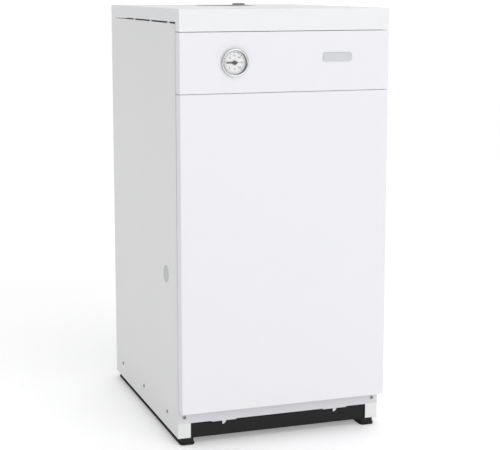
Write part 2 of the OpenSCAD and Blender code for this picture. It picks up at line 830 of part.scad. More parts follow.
function nut_places() = [for (x = [-plate_x + 10, 0, plate_x - 10], z = [plate_z0 + 10, plate_z1 - 10]) [x, z]];

module burner_plate() {
    y1 = body_y0 - gasket_t;
    color("lightslategray") difference() {
        block([-plate_x, y1 - cover_t, plate_z0], [plate_x, y1, plate_z1]);
        for (p = nut_places()) rod_y(p[0], p[1], y1 - cover_t - cut, y1 + cut, 3.2);
        rod_y(sight_x, sight_z, y1 - cover_t - cut, y1 + cut, sight_r);
    }
}

module plate_gasket() {
    w = 22;
    color("beige") difference() {
        block([-plate_x, body_y0 - gasket_t, plate_z0], [plate_x, body_y0, plate_z1]);
        block([-plate_x + w, body_y0 - gasket_t - cut, plate_z0 + w],
              [plate_x - w, body_y0 + cut, plate_z1 - w]);
        for (p = nut_places()) rod_y(p[0], p[1], body_y0 - gasket_t - cut, body_y0 + cut, 3.2);
    }
}

// Studs with their nuts; the studs stand on the body's front.
module plate_nuts() {
    y1 = body_y0 - gasket_t - cover_t;
    color("silver") for (p = nut_places()) {
        rod_y(p[0], p[1], y1 - 9, body_y0, 3);
        hex_y(p[0], p[1], y1 - 5, y1, 5.7);
    }
}

// Mica window in its ring, with the flap's pivot pin.
module sight_glass() {
    y1 = body_y0 - gasket_t - cover_t;
    color("khaki") {
        difference() {
            rod_y(sight_x, sight_z, y1 - 3, y1, sight_r + 6);
            rod_y(sight_x, sight_z, y1 - 3 - cut, y1 + cut, sight_r);
        }
        rod_y(sight_x, sight_z, y1 - 1.2, y1, sight_r);
        rod_y(sight_x, sight_z + sight_r + 3, y1 - 6, y1 - 3, 1.5);
        rod_y(sight_x, sight_z + sight_r + 3, y1 - 6, y1 - 4.9, 2.6);
    }
}

// Swinging cover of the window.
module sight_flap() {
    y1 = body_y0 - gasket_t - cover_t - 3 - 0.35;
    color("silver") difference() {
        translate([sight_x, y1, sight_z]) rotate([90, 0, 0]) linear_extrude(1.2) {
            circle(r = sight_r + 2);
            translate([-5, 0]) square([10, sight_r + 3]);
            translate([0, sight_r + 3]) circle(r = 5);
            translate([-3, -sight_r - 8]) square([6, 10]);
        }
        rod_y(sight_x, sight_z + sight_r + 3, y1 - 2, y1 + cut, 1.5 + fit);
    }
}

// Frame that holds the bars in notches and hangs under the stand's rails.
module burner_frame() {
    y0 = body_y0 + 6;
    y1 = bar_y1 - 8;
    color("gainsboro") {
        difference() {
            block([-frame_x, y0, frame_z0], [frame_x, y1, frame_z1]);
            block([-frame_x + frame_t, y0 + frame_t, frame_z0 - cut],
                  [frame_x - frame_t, y1 - frame_t, frame_z1 + cut]);
            for (x = bar_xs)
                block([x - bar_r - slack, y0 - cut, bar_z], [x + bar_r + slack, y1 + cut, frame_z1 + cut]);
        }
        both_sides() for (y = [y0 + 40, y1 - 70])
            block([frame_x - frame_t, y, frame_z1 - frame_t], [frame_x + 22, y + 30, frame_z1]);
    }
}

// Burner bar: hollow, a bell mouth in front, gas ports across its round top.
module burner_bar(x) {
    round_z = bar_top - bar_r;
    ports = floor((bar_y1 - body_y0 - 40) / port_pitch);
    color("silver") difference() {
        union() {
            bar_outline(x, bar_y0, bar_y1, bar_r, bar_z);
            rod_y(x, bar_mid, bar_y0 - 3, bar_y0, mouth_r + 3);
        }
        bar_outline(x, bar_y0 + 1.5, bar_y1 - 1.5, bar_r - bar_t, bar_z + bar_t);
        rod_y(x, bar_mid, bar_y0 - 4, bar_y0 + 2, mouth_r);
        for (i = [0:ports - 1])
            block([x - bar_r * 0.6, body_y0 + 20 + i * port_pitch, round_z + bar_r * 0.5],
                  [x + bar_r * 0.6, body_y0 + 22 + i * port_pitch, bar_top + cut]);
    }
}

module bar_outline(x, y0, y1, r, z0) {
    round_z = bar_top - bar_r;
    rod_y(x, round_z, y0, y1, r);
    block([x - r, y0, z0], [x + r, y1, round_z]);
}

module burner_bar_1() {
    burner_bar(bar_xs[0]);
}

module burner_bar_2() {
    burner_bar(bar_xs[1]);
}

module burner_bar_3() {
    burner_bar(bar_xs[2]);
}

// Manifold with injector bosses, the branch from the valve and the igniter's bracket.
module gas_manifold() {
    r = manifold_r;
    branch_z = valve_z + 20;
    color("gray") difference() {
        union() {
            rod_x(manifold_y, bar_mid, -manifold_x, manifold_x, r);
            for (x = bar_xs) rod_y(x, bar_mid, manifold_y, manifold_y + r + 6, 8);
            rod_z(branch_x, manifold_y, branch_z, bar_mid, gas_r - 1);
            translate([branch_x + 20, manifold_y, branch_z]) rotate([90, 0, 0])
                rotate_extrude(angle = 90) translate([-20, 0]) circle(r = gas_r - 1);
            rod_x(manifold_y, valve_z, branch_x + 20, valve_x - valve_w / 2, gas_r - 1);
            block([piezo_x - 16, manifold_y - 1, valve_z - 14], [piezo_x + 16, manifold_y + 1, bar_mid - r + 1]);
        }
        rod_x(manifold_y, bar_mid, -manifold_x + 3, manifold_x - 3, r - 3);
        for (x = bar_xs) rod_y(x, bar_mid, manifold_y, manifold_y + r + 7, 4);
        rod_y(piezo_x, valve_z + 4, manifold_y - 2, manifold_y + 2, piezo_r + fit);
    }
}

module injectors() {
    y0 = manifold_y + manifold_r + 6;
    color("goldenrod") for (x = bar_xs) difference() {
        union() {
            hex_y(x, bar_mid, y0, y0 + 6, 7);
            rod_y(x, bar_mid, y0 - 7, y0, 4);
            rod_y(x, bar_mid, y0 + 6, y0 + 13, 4.5);
        }
        rod_y(x, bar_mid, y0 - 8, y0 + 10, 2.5);
        rod_y(x, bar_mid, y0 + 9, y0 + 14, 1);
    }
}

// Pilot burner head on its bracket, which stands on the burner frame.
module pilot_burner() {
    color("silver") {
        for (x = [-22, 15])
            block([pilot_x + x, body_y0 + 6, frame_z1], [pilot_x + x + 7, body_y0 + 8, frame_z1 + 24]);
        difference() {
            block([pilot_x - 22, body_y0 + 6, frame_z1 + 22], [pilot_x + 22, body_y0 + 24, frame_z1 + 24]);
            for (x = [-10, 10]) rod_z(pilot_x + x, pilot_y + 2, frame_z1 + 21, frame_z1 + 25, 3.5);
        }
        rod_z(pilot_x, pilot_y + 2, frame_z1 + 24, frame_z1 + 42, 4.5);
        rod_z(pilot_x, pilot_y + 2, frame_z1 + 12, frame_z1 + 22, 4.5);
    }
}

function valve_top() = valve_z + valve_h / 2;

// Aluminium tube from the valve to the pilot.
module pilot_tube() {
    z = frame_z1 + 6;
    color("silver") {
        route([[pilot_x, fitting_y, valve_top() + 2], [pilot_x, fitting_y, z - 11],
               [pilot_x, fitting_y + 5, z - 4], [pilot_x, fitting_y + 15, z],
               [pilot_x, pilot_y - 5, z], [pilot_x, pilot_y + 2, z + 3], [pilot_x, pilot_y + 2, z + 6]], 2);
        rod_z(pilot_x, fitting_y, valve_top(), valve_top() + 8, 5);
    }
}

// Thermocouple: probe at the pilot, copper capillary to the valve.
module thermocouple() {
    z = frame_z1 + 10;
    x = pilot_x + 10;
    color("peru") {
        rod_z(x, pilot_y + 2, frame_z1 + 14, frame_z1 + 50, 3.4);
        route([[x, pilot_y + 2, frame_z1 + 16], [x, pilot_y - 4, z + 2], [x, pilot_y - 14, z],
               [x + 4, fitting_y + 18, z], [x + 8, fitting_y + 6, z - 5],
               [x + 10, fitting_y, z - 13], [x + 10, fitting_y, valve_top() + 2]], 1.2);
        rod_z(x + 10, fitting_y, valve_top(), valve_top() + 8, 4.5);
    }
}

// Electrode with its ceramic body, boot and lead to the igniter.
module ignition_lead() {
    z = frame_z1 + 4;
    x = pilot_x - 10;
    color("ivory") {
        rod_z(x, pilot_y + 2, frame_z1 + 8, frame_z1 + 38, 3.2);
        rod_z(x, pilot_y + 2, frame_z1 + 38, frame_z1 + 50, 0.8);
        route([[x, pilot_y + 2, frame_z1 + 10], [x, pilot_y - 5, z + 1], [x, pilot_y - 16, z],
               [x - 6, fitting_y + 14, z - 8], [x - 22, fitting_y + 8, valve_z + 34],
               [piezo_x + 24, fitting_y + 6, valve_z + 16], [piezo_x + 8, fitting_y + 3, valve_z + 8],
               [piezo_x + 1, fitting_y - 1, valve_z + 5], [piezo_x, manifold_y + 18, valve_z + 4]], 1.6);
    }
}

// ---- Gas train ----

module gas_valve() {
    x0 = valve_x - valve_w / 2;
    x1 = valve_x + valve_w / 2;
    z0 = valve_z - valve_h / 2;
    color("silver") difference() {
        union() {
            block([x0, valve_y0, z0 + 8], [x1, valve_y1, valve_top() - 8]);
            block([x0 + 10, valve_y0 + 4, z0], [x1 - 10, valve_y1 - 4, valve_top()]);
            rod_y(valve_x, valve_z, turret_y, valve_y0, knob_r - 3);
            rod_y(x0 + 12, z0 + 18, valve_y0 - 3, valve_y0, 4);
            rod_y(x0 + 12, z0 + 30, valve_y0 - 3, valve_y0, 4);
        }
        rod_y(valve_x, valve_z, turret_y - cut, turret_y + 26, 4 + fit);
        for (x = [x0, x1]) rod_x(manifold_y, valve_z, x - 12, x + 12, gas_r - 4);
    }
}

// Spindle that the knob turns on and pushes in.
module valve_spindle() {
    color("dimgray") {
        rod_y(valve_x, valve_z, knob_y1 - 8, knob_y1 + 0.4, 3);
        rod_y(valve_x, valve_z, knob_y1 + 0.4, turret_y + 20, 4);
    }
}

module valve_knob() {
    color("white") difference() {
        union() {
            rod_y(valve_x, valve_z, knob_y1 - 4, knob_y1, knob_r);
            rod_y(valve_x, valve_z, knob_y1 - knob_h, knob_y1 - 4, knob_r - 2.5);
            block([valve_x - 3, knob_y1 - knob_h - 2, valve_z - knob_r + 3],
                  [valve_x + 3, knob_y1 - knob_h, valve_z + knob_r - 3]);
        }
        rod_y(valve_x, valve_z, knob_y1 - 9, knob_y1 + cut, 3 + fit);
    }
}

// Igniter in the manifold's bracket: collar in front, threaded barrel behind.
module piezo_igniter() {
    z = valve_z + 4;
    color("black") difference() {
        union() {
            rod_y(piezo_x, z, manifold_y - 5, manifold_y - 1, 12);
            rod_y(piezo_x, z, manifold_y - 1, manifold_y + 20, piezo_r);
            hex_y(piezo_x, z, manifold_y + 1, manifold_y + 5, 13);
        }
        rod_y(piezo_x, z, manifold_y - 6, manifold_y + 10, 6 + fit);
    }
}

module piezo_button() {
    z = valve_z + 4;
    color("red") {
        rod_y(piezo_x, z, manifold_y - 5 - piezo_travel - 3, manifold_y + 3, 6);
        rod_y(piezo_x, z, manifold_y - 5 - piezo_travel - 5, manifold_y - 5 - piezo_travel - 3, 5);
    }
}

// Gas pipe from the valve to the back, with one bend.
module gas_pipe() {
    bend = 28;
    x0 = valve_x + valve_w / 2;
    color("goldenrod") difference() {
        union() {
            rod_x(manifold_y, valve_z, x0, gas_x - bend, gas_pipe_r);
            translate([gas_x - bend, manifold_y + bend, valve_z]) rotate([0, 0, -90])
                rotate_extrude(angle = 90) translate([bend, 0]) circle(r = gas_pipe_r);
            rod_y(gas_x, valve_z, manifold_y + bend, back_y + stub_out - thread_l, gas_pipe_r);
            rod_y(gas_x, valve_z, manifold_y + bend, back_y + stub_out, gas_r);
        }
        rod_x(manifold_y, valve_z, x0 - cut, gas_x - bend, gas_r - 2.5);
        translate([gas_x - bend, manifold_y + bend, valve_z]) rotate([0, 0, -90])
            rotate_extrude(angle = 90) translate([bend, 0]) circle(r = gas_r - 2.5);
        rod_y(gas_x, valve_z, manifold_y + bend, back_y + stub_out + cut, gas_r - 2.5);
    }
}

module union_nut() {
    x0 = valve_x + valve_w / 2;
    color("goldenrod") difference() {
        translate([x0 + 2, manifold_y, valve_z]) rotate([0, 90, 0]) cylinder(r = gas_r + 6, h = 18, $fn = 6);
        rod_x(manifold_y, valve_z, x0, x0 + 22, gas_pipe_r + fit);
    }
}

skid_left();
skid_right();
base_tray();
front_rail();
side_panel_left();
side_panel_right();
back_panel();
door_crossbar();
top_crossbar();
lid();
lid_cap();
control_panel();
badge();
front_door();
door_pad();
door_studs();
door_clips();
side_plugs();
casing_screws();
gauge_case();
gauge_bezel();
gauge_glass();
gauge_dial();
gauge_pointer();
gauge_capillary();
heat_exchanger();
turbulators();
sensor_pocket();
flow_nipple();
return_nipple();
insulation_jacket();
body_stand();
drain_cock();
drain_lever();
flue_collector();
draught_hood();
flue_collar();
spill_thermostat();
burner_plate();
plate_gasket();
plate_nuts();
sight_glass();
sight_flap();
burner_frame();
burner_bar_1();
burner_bar_2();
burner_bar_3();
gas_manifold();
injectors();
pilot_burner();
pilot_tube();
thermocouple();
ignition_lead();
gas_valve();
valve_spindle();
valve_knob();
piezo_igniter();
piezo_button();
gas_pipe();
union_nut();
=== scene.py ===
"""Floor-standing gas boiler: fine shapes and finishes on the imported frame."""
from __future__ import annotations

import json
import logging
import math
from dataclasses import dataclass
from enum import Enum
from typing import Sequence

import bmesh
import bpy
from mathutils import Matrix, Vector


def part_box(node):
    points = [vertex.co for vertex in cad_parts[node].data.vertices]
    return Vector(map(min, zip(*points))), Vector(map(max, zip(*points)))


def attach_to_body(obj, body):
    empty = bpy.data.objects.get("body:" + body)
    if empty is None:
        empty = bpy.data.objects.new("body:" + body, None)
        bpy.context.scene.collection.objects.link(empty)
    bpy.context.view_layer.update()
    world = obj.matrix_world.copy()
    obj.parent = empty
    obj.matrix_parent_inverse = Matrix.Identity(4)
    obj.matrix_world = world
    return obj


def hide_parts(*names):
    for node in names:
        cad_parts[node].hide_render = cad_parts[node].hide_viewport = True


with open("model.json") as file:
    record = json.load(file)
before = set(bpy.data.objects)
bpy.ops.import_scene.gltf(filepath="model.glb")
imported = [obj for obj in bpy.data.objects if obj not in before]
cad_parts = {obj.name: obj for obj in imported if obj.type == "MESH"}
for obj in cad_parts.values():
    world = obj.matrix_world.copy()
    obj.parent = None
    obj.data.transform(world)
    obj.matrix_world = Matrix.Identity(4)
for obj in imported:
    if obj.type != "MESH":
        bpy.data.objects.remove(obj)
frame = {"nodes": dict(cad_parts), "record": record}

log = logging.getLogger("boiler")
MM = 0.001
WELD = 2e-6  # metres within which the corners of a CAD mesh's triangles are one
FLAT = math.radians(0.6)  # a bend flatter than this is no edge


# ---------------------------------------------------------------- small helpers

def linear(code: str) -> tuple[float, float, float, float]:
    """Turns an sRGB hex code into linear light.

    Args:
        code: six hex digits, with or without a leading #.

    Returns:
        Red, green, blue and an alpha of 1.
    """
    code = code.lstrip("#")
    parts = [int(code[i:i + 2], 16) / 255 for i in (0, 2, 4)]
    return tuple(c / 12.92 if c <= 0.04045 else ((c + 0.055) / 1.055) ** 2.4 for c in parts) + (1.0,)


def add(tree: bpy.types.NodeTree, kind: str, settings: dict | None = None,
        inputs: dict | None = None) -> bpy.types.Node:
    """Adds a node with its settings and links.

    Args:
        tree: the tree that gets the node.
        kind: the node's type name.
        settings: attributes of the node.
        inputs: socket name or number to a value, or to the output socket that feeds it.

    Returns:
        The new node.
    """
    made = tree.nodes.new(kind)
    for key, value in (settings or {}).items():
        setattr(made, key, value)
    for key, value in (inputs or {}).items():
        if isinstance(value, bpy.types.NodeSocket):
            tree.links.new(value, made.inputs[key])
        else:
            made.inputs[key].default_value = value
    return made


def main_shader(material: bpy.types.Material) -> bpy.types.Node:
    """Returns a material's Principled BSDF node."""
    return next(n for n in material.node_tree.nodes if n.type == "BSDF_PRINCIPLED")


def node_group(name: str, inputs: dict[str, str], output: str) -> bpy.types.NodeTree:
    """Starts a Geometry Nodes group.

    Args:
        name: the group's name.
        inputs: name of each input, with the end of its socket type.
        output: name of the geometry that comes out.

    Returns:
        The group, with sockets only.
    """
    tree = bpy.data.node_groups.new(name, "GeometryNodeTree")
    for label, kind in inputs.items():
        tree.interface.new_socket(label, in_out="INPUT", socket_type="NodeSocket" + kind)
    tree.interface.new_socket(output, in_out="OUTPUT", socket_type="NodeSocketGeometry")
    return tree


def run_group(made: bpy.types.Object, tree: bpy.types.NodeTree, values: dict) -> None:
    """Adds a Geometry Nodes group to an object.

    Args:
        made: the object.
        tree: the group.
        values: input name to its value.
    """
    used = made.modifiers.new(tree.name, "NODES")
    used.node_group = tree
    sockets = {s.name: s.identifier for s in tree.interface.items_tree if s.in_out == "INPUT"}
    for label, value in values.items():
        used[sockets[label]] = value


# ---------------------------------------------------------------- finishes

class Pattern(Enum):
    """How a surface was made, which decides what its colour, gloss and relief follow."""

    PEEL = "sprayed powder, melted to a faint orange peel"
    SPANGLE = "zinc crystals of a hot dip"
    DRAWN = "lines along the rolling or turning direction"
    CAST = "skin of a casting"
    GRAIN = "fine texture of a mould"
    CREASED = "foil pressed on wool"
    MATTED = "matted fibres"


@dataclass(frozen=True)
class Finish:
    """One surface finish.

    Sizes are in millimetres. The two colours are the ends of the pattern's variation.
    """

    name: str
    colour: str
    second: str
    pattern: Pattern
    size: float
    relief: float
    rough: tuple[float, float]
    metallic: float = 0.0
    coat: float = 0.0
    ior: float = 1.45
    stretch: tuple[float, float, float] = (1.0, 1.0, 1.0)
    alpha: float = 1.0

    def material(self) -> bpy.types.Material:
        """Returns the finish's material, made on first use."""
        known = bpy.data.materials.get(self.name)
        return known or self._build()

    def _field(self, tree: bpy.types.NodeTree, spot: bpy.types.NodeSocket) -> bpy.types.NodeSocket:
        """Adds the pattern's own texture.

        Args:
            tree: the material's tree.
            spot: Object coordinates, scaled so that one unit is one pattern size.

        Returns:
            A socket from 0 to 1.
        """
        noise = {Pattern.PEEL: (1.0, 0.55, 0.0), Pattern.CAST: (6.0, 0.55, 0.0),
                 Pattern.DRAWN: (3.0, 0.7, 0.0), Pattern.MATTED: (8.0, 0.75, 1.6)}
        if self.pattern in noise:
            detail, roughness, distortion = noise[self.pattern]
            return add(tree, "ShaderNodeTexNoise", None,
                       {"Vector": spot, "Scale": 1.0, "Detail": detail, "Roughness": roughness,
                        "Distortion": distortion}).outputs["Fac"]
        if self.pattern is Pattern.SPANGLE:
            cells = add(tree, "ShaderNodeTexVoronoi", None, {"Vector": spot, "Scale": 1.0, "Randomness": 1.0})
            return add(tree, "ShaderNodeSeparateColor", None, {0: cells.outputs["Color"]}).outputs[0]
        if self.pattern is Pattern.GRAIN:
            return add(tree, "ShaderNodeTexVoronoi", {"feature": "SMOOTH_F1"},
                       {"Vector": spot, "Scale": 1.0, "Smoothness": 0.6}).outputs["Distance"]
        bent = add(tree, "ShaderNodeTexNoise", None, {"Vector": spot, "Scale": 0.8, "Detail": 2.0})
        moved = add(tree, "ShaderNodeMixRGB", {"blend_type": "ADD"},
                    {0: 0.6, 1: spot, 2: bent.outputs["Color"]})
        return add(tree, "ShaderNodeTexVoronoi", {"feature": "DISTANCE_TO_EDGE"},
                   {"Vector": moved.outputs[0], "Scale": 1.0}).outputs["Distance"]

    def _build(self) -> bpy.types.Material:
        """Builds the node tree and returns its material."""
        made = bpy.data.materials.new(self.name)
        made.use_nodes = True
        tree = made.node_tree
        tree.nodes.clear()
        spot = add(tree, "ShaderNodeTexCoord").outputs["Object"]
        per = 1 / (self.size * MM)
        small = add(tree, "ShaderNodeMapping", None,
                    {"Vector": spot, "Scale": tuple(per / s for s in self.stretch)}).outputs["Vector"]
        pattern = self._field(tree, small)
        # Slow variation over about 0.2 m, as light handling and uneven coating leave
        broad = add(tree, "ShaderNodeTexNoise", None,
                    {"Vector": spot, "Scale": 5.0, "Detail": 2.0}).outputs["Fac"]
        both = add(tree, "ShaderNodeMath", {"operation": "MULTIPLY"}, {0: pattern, 1: 0.6})
        sway = add(tree, "ShaderNodeMath", {"operation": "MULTIPLY_ADD", "use_clamp": True},
                   {0: broad, 1: 0.4, 2: both.outputs[0]})
        tone = add(tree, "ShaderNodeMix", {"data_type": "RGBA"},
                   {0: sway.outputs[0], 6: linear(self.colour), 7: linear(self.second)})
        gloss = add(tree, "ShaderNodeMapRange", None,
                    {"Value": sway.outputs[0], "To Min": self.rough[0], "To Max": self.rough[1]})
        bump = add(tree, "ShaderNodeBump", None,
                   {"Height": pattern, "Strength": 1.0, "Distance": self.relief * MM})
        shader = add(tree, "ShaderNodeBsdfPrincipled", None,
                     {"Base Color": tone.outputs[2], "Roughness": gloss.outputs[0], "Normal": bump.outputs[0],
                      "Metallic": self.metallic, "Coat Weight": self.coat, "Coat Roughness": 0.18,
                      "IOR": self.ior, "Alpha": self.alpha})
        add(tree, "ShaderNodeOutputMaterial", None, {"Surface": shader.outputs[0]})
        return made


@dataclass(frozen=True)
class HeatTint(Finish):
    """Stainless sheet that the flame has coloured along its top edge, at height top_mm."""

    top_mm: float = 188.0

    def _build(self) -> bpy.types.Material:
        """Adds straw and blue bands under the top edge to the plain finish."""
        made = super()._build()
        tree = made.node_tree
        shader = main_shader(made)
        tone = shader.inputs["Base Color"].links[0].from_socket
        spot = add(tree, "ShaderNodeTexCoord").outputs["Object"]
        height = add(tree, "ShaderNodeSeparateXYZ", None, {0: spot}).outputs["Z"]
        where = add(tree, "ShaderNodeMapRange", None,
                    {"Value": height, "From Min": (self.top_mm - 26) * MM, "From Max": self.top_mm * MM})
        ramp = add(tree, "ShaderNodeValToRGB", None, {0: where.outputs[0]})
        stops = ramp.color_ramp
        stops.elements[0].color = linear("ffffff")
        stops.elements[1].color = linear("8f7f86")
        for place, code in ((0.45, "e8cf9c"), (0.68, "b98a6c"), (0.84, "7f88b4")):
            stops.elements.new(place).color = linear(code)
        mixed = add(tree, "ShaderNodeMix", {"data_type": "RGBA", "blend_type": "MULTIPLY"},
                    {0: 1.0, 6: tone, 7: ramp.outputs[0]})
        tree.links.new(mixed.outputs[2], shader.inputs["Base Color"])
        return made


@dataclass(frozen=True)
class ClearPane(Finish):
    """Thin flat pane that shows what lies behind it, with a weak mirror image."""

    def _build(self) -> bpy.types.Material:
        """Makes the plain finish blend with what lies behind it."""
        made = super()._build()
        main_shader(made).inputs["Specular IOR Level"].default_value = 0.3
        made.surface_render_method = "BLENDED"
        return made


class Finishes:
    """Every finish of the boiler."""

    # Polyester powder on steel: satin white, the peel's bumps about 2.5 mm apart. Front and lid are a cooler
    # white than the sides.
    white = Finish("white_powder_coat_front", "#eeeef2", "#ebebf0", Pattern.PEEL, 2.5, 0.012, (0.36, 0.44))
    # Sides a little darker than the front: partly a more neutral tint, partly painted shade of the faces
    # turned away from the key light
    side_white = Finish("white_powder_coat_side", "#ebeceb", "#e8e9e8", Pattern.PEEL, 2.5, 0.012,
                        (0.36, 0.44))
    lid_white = Finish("white_powder_coat_lid", "#eeeff2", "#eceded", Pattern.PEEL, 2.5, 0.012, (0.34, 0.42))
    # Rail greyer than the rest of the casing: painted shade of the door's overhang, on the same paint
    rail_white = Finish("white_powder_coat_rail", "#dedde1", "#d8d7dc", Pattern.PEEL, 2.5, 0.012, (0.4, 0.48))
    # The same powder in black, duller and dustier
    black = Finish("black_powder_coat", "#060707", "#0a0b0b", Pattern.PEEL, 2.5, 0.02, (0.62, 0.74))
    # Glass-filled nylon of the skids: fine moulded grain
    nylon = Finish("moulded_black_nylon", "#0f1010", "#181919", Pattern.GRAIN, 1.6, 0.05, (0.55, 0.7))
    # Hot-dip galvanised sheet: crystals of about 12 mm, each with its own tone
    zinc_sheet = Finish("galvanised_sheet", "#a9adb0", "#c4c7c9", Pattern.SPANGLE, 12, 0.004,
                        (0.32, 0.5), 1.0)
    # Dark plate on the floor of a screw's cross recess: painted shade of the recess
    recess = Finish("oiled_screw_recess", "#2e2a29", "#1f1c1b", Pattern.CAST, 1, 0.02, (0.5, 0.65), 0.4)
    # Bright zinc plate on turned fasteners
    zinc_plate = Finish("zinc_plated_steel", "#b9b6ae", "#8f8d88", Pattern.CAST, 3, 0.01, (0.25, 0.42), 1.0)
    # Aluminised sheet of the flue parts: matt, with drawn lines
    alu_sheet = Finish("aluminised_sheet", "#b8b8b4", "#a3a3a0", Pattern.DRAWN, 1.2, 0.006, (0.38, 0.52), 1.0,
                       stretch=(1.0, 1.0, 40.0))
    # Stainless burner sheet, tinted by heat along the ports
    burner = HeatTint("heat_tinted_stainless", "#c9c6c0", "#b3b0aa", Pattern.DRAWN, 1.0, 0.005,
                      (0.24, 0.4), 1.0, stretch=(1.0, 40.0, 1.0))
    stainless = Finish("rolled_stainless", "#c6c4bf", "#aeaca7", Pattern.DRAWN, 1.0, 0.005, (0.24, 0.4), 1.0,
                       stretch=(1.0, 40.0, 1.0))
    # Turned steel: lines round the pipe, close together
    turned = Finish("turned_steel", "#a8a8a6", "#8d8d8b", Pattern.DRAWN, 0.6, 0.008, (0.28, 0.42), 1.0,
                    stretch=(30.0, 1.0, 30.0))
    # Grey-green primer over rolled and welded plate
    primer = Finish("primed_boiler_plate", "#3d4245", "#4b5053", Pattern.CAST, 6, 0.06, (0.55, 0.7))
    iron = Finish("primed_angle_iron", "#2b2d2f", "#383a3c", Pattern.CAST, 5, 0.05, (0.5, 0.66))
    brass = Finish("machined_brass", "#c9a25a", "#b48c48", Pattern.DRAWN, 0.8, 0.008, (0.22, 0.36), 1.0,
                   stretch=(20.0, 1.0, 20.0))
    copper = Finish("drawn_copper", "#b9724c", "#a06040", Pattern.CAST, 4, 0.006, (0.28, 0.42), 1.0)
    aluminium = Finish("drawn_aluminium", "#c2c4c6", "#b0b2b4", Pattern.CAST, 4, 0.006, (0.28, 0.42), 1.0)
    # Pressure die casting, shot-blasted to an even fine skin
    die_cast = Finish("die_cast_aluminium", "#aeb0b2", "#9a9c9e", Pattern.CAST, 1.4, 0.05, (0.42, 0.56), 1.0)
    # Aluminium foil that took the creases of the wool under it
    foil = Finish("foil_faced_wool", "#c5c6c7", "#a9aaac", Pattern.CREASED, 26, 0.9, (0.26, 0.44), 1.0)
    wool = Finish("glass_wool_board", "#5d5c58", "#464642", Pattern.MATTED, 5, 0.5, (0.9, 1.0))
    rope = Finish("fibre_gasket", "#d8d3c4", "#bfb9a9", Pattern.MATTED, 3, 0.3, (0.85, 0.95))
    # Nickel-chrome plate on a drawn ring
    chrome = Finish("chrome_plated_brass", "#dcdee1", "#cfd2d5", Pattern.PEEL, 4, 0.002, (0.06, 0.12), 1.0)
    dial = Finish("enamelled_dial", "#fbfbfa", "#f7f7f6", Pattern.PEEL, 2, 0.004, (0.4, 0.5))
    ink = Finish("printed_black_ink", "#2c2d30", "#37383b", Pattern.GRAIN, 0.8, 0.002, (0.5, 0.6))
    pointer = Finish("black_lacquered_pointer", "#101112", "#18191b", Pattern.PEEL, 1, 0.002, (0.35, 0.45))
    black_plastic = Finish("moulded_black_abs", "#17181a", "#202224", Pattern.GRAIN, 0.9, 0.02, (0.38, 0.5))
    grey_plastic = Finish("moulded_grey_polyethylene", "#cfd1d4", "#c6c8cb", Pattern.GRAIN, 1.0, 0.02,
                          (0.42, 0.55))
    clip = Finish("moulded_natural_nylon", "#dedcd2", "#d2d0c5", Pattern.GRAIN, 0.9, 0.02, (0.4, 0.52))
    badge = Finish("anodised_badge_plate", "#c9cbce", "#bec0c3", Pattern.DRAWN, 0.5, 0.003, (0.35, 0.48),
                   0.85, stretch=(60.0, 1.0, 1.0))
    silicone = Finish("silicone_lead", "#8e2a24", "#7e241f", Pattern.GRAIN, 0.8, 0.01, (0.5, 0.6))
    knob = Finish("moulded_grey_knob", "#d4d6d9", "#caccd0", Pattern.GRAIN, 0.8, 0.015, (0.3, 0.42))
    red = Finish("moulded_red_plastic", "#b3221c", "#a01c17", Pattern.GRAIN, 0.8, 0.015, (0.3, 0.42))
    glass = ClearPane("gauge_glass_pane", "#ffffff", "#fbfdfd", Pattern.PEEL, 8, 0.001, (0.02, 0.04), ior=1.5,
                      alpha=0.05)
    mica = ClearPane("mica_pane", "#c9a660", "#b8934f", Pattern.CREASED, 6, 0.03, (0.1, 0.2), ior=1.56,
                     alpha=0.6)


# ---------------------------------------------------------------- mesh work

class Axis(Enum):
    """Axis of a turned piece: which of cosine, sine and length its x, y and z are."""

    X = (2, 0, 1)
    Y = (0, 2, 1)
    Z = (0, 1, 2)


def face_width(face: bmesh.types.BMFace) -> float:
    """Returns a face's area over its longest edge, which is the width of a strip."""
    return face.calc_area() / max(e.calc_length() for e in face.edges)


def cad_shape(name: str) -> bmesh.types.BMesh:
    """Copies a CAD node's mesh and joins its loose triangles into clean faces.

    Args:
        name: the CAD node.

    Returns:
        A new bmesh; the node itself stays as it was.
    """
    bm = bmesh.new()
    bm.from_mesh(frame["nodes"][name].data)
    bmesh.ops.remove_doubles(bm, verts=bm.verts, dist=WELD)
    bmesh.ops.dissolve_limit(bm, angle_limit=FLAT, verts=bm.verts, edges=bm.edges)
    bm.normal_update()
    return bm


def sharp_edges(bm: bmesh.types.BMesh, convex: bool | None, least: float,
                strip: float, angle: float = 40) -> list[bmesh.types.BMEdge]:
    """Finds edges worth rounding.

    Args:
        bm: the mesh.
        convex: outward edges only, inward only, or None for both.
        least: shortest edge, in metres.
        strip: narrowest face beside the edge, in metres.
        angle: smallest angle between the edge's faces, in degrees.

    Returns:
        The edges.
    """
    found = []
    for e in bm.edges:
        if len(e.link_faces) != 2 or e.calc_length() < least:
            continue
        if e.calc_face_angle(0) < math.radians(angle):
            continue
        if convex is not None and e.is_convex != convex:
            continue
        if min(face_width(f) for f in e.link_faces) < strip:
            continue
        found.append(e)
    return found


def bevel(bm: bmesh.types.BMesh, edges: list[bmesh.types.BMEdge], width: float, steps: int) -> None:
    """Rounds edges.

    Args:
        bm: the mesh.
        edges: edges to round.
        width: offset from the edge, in metres.
        steps: segments of each rounding.
    """
    if edges:
        bmesh.ops.bevel(bm, geom=edges, offset=width, offset_type="OFFSET", segments=steps, profile=0.5,
                        affect="EDGES", clamp_overlap=True)
        bmesh.ops.remove_doubles(bm, verts=bm.verts, dist=1e-6)
        bm.normal_update()


def shade(bm: bmesh.types.BMesh, crease: float) -> None:
    """Smooths a shape, but for edges whose faces meet at crease degrees or more."""
    for f in bm.faces:
        f.smooth = True
    for e in bm.edges:
        e.smooth = len(e.link_faces) == 2 and e.calc_face_angle(0) < math.radians(crease)


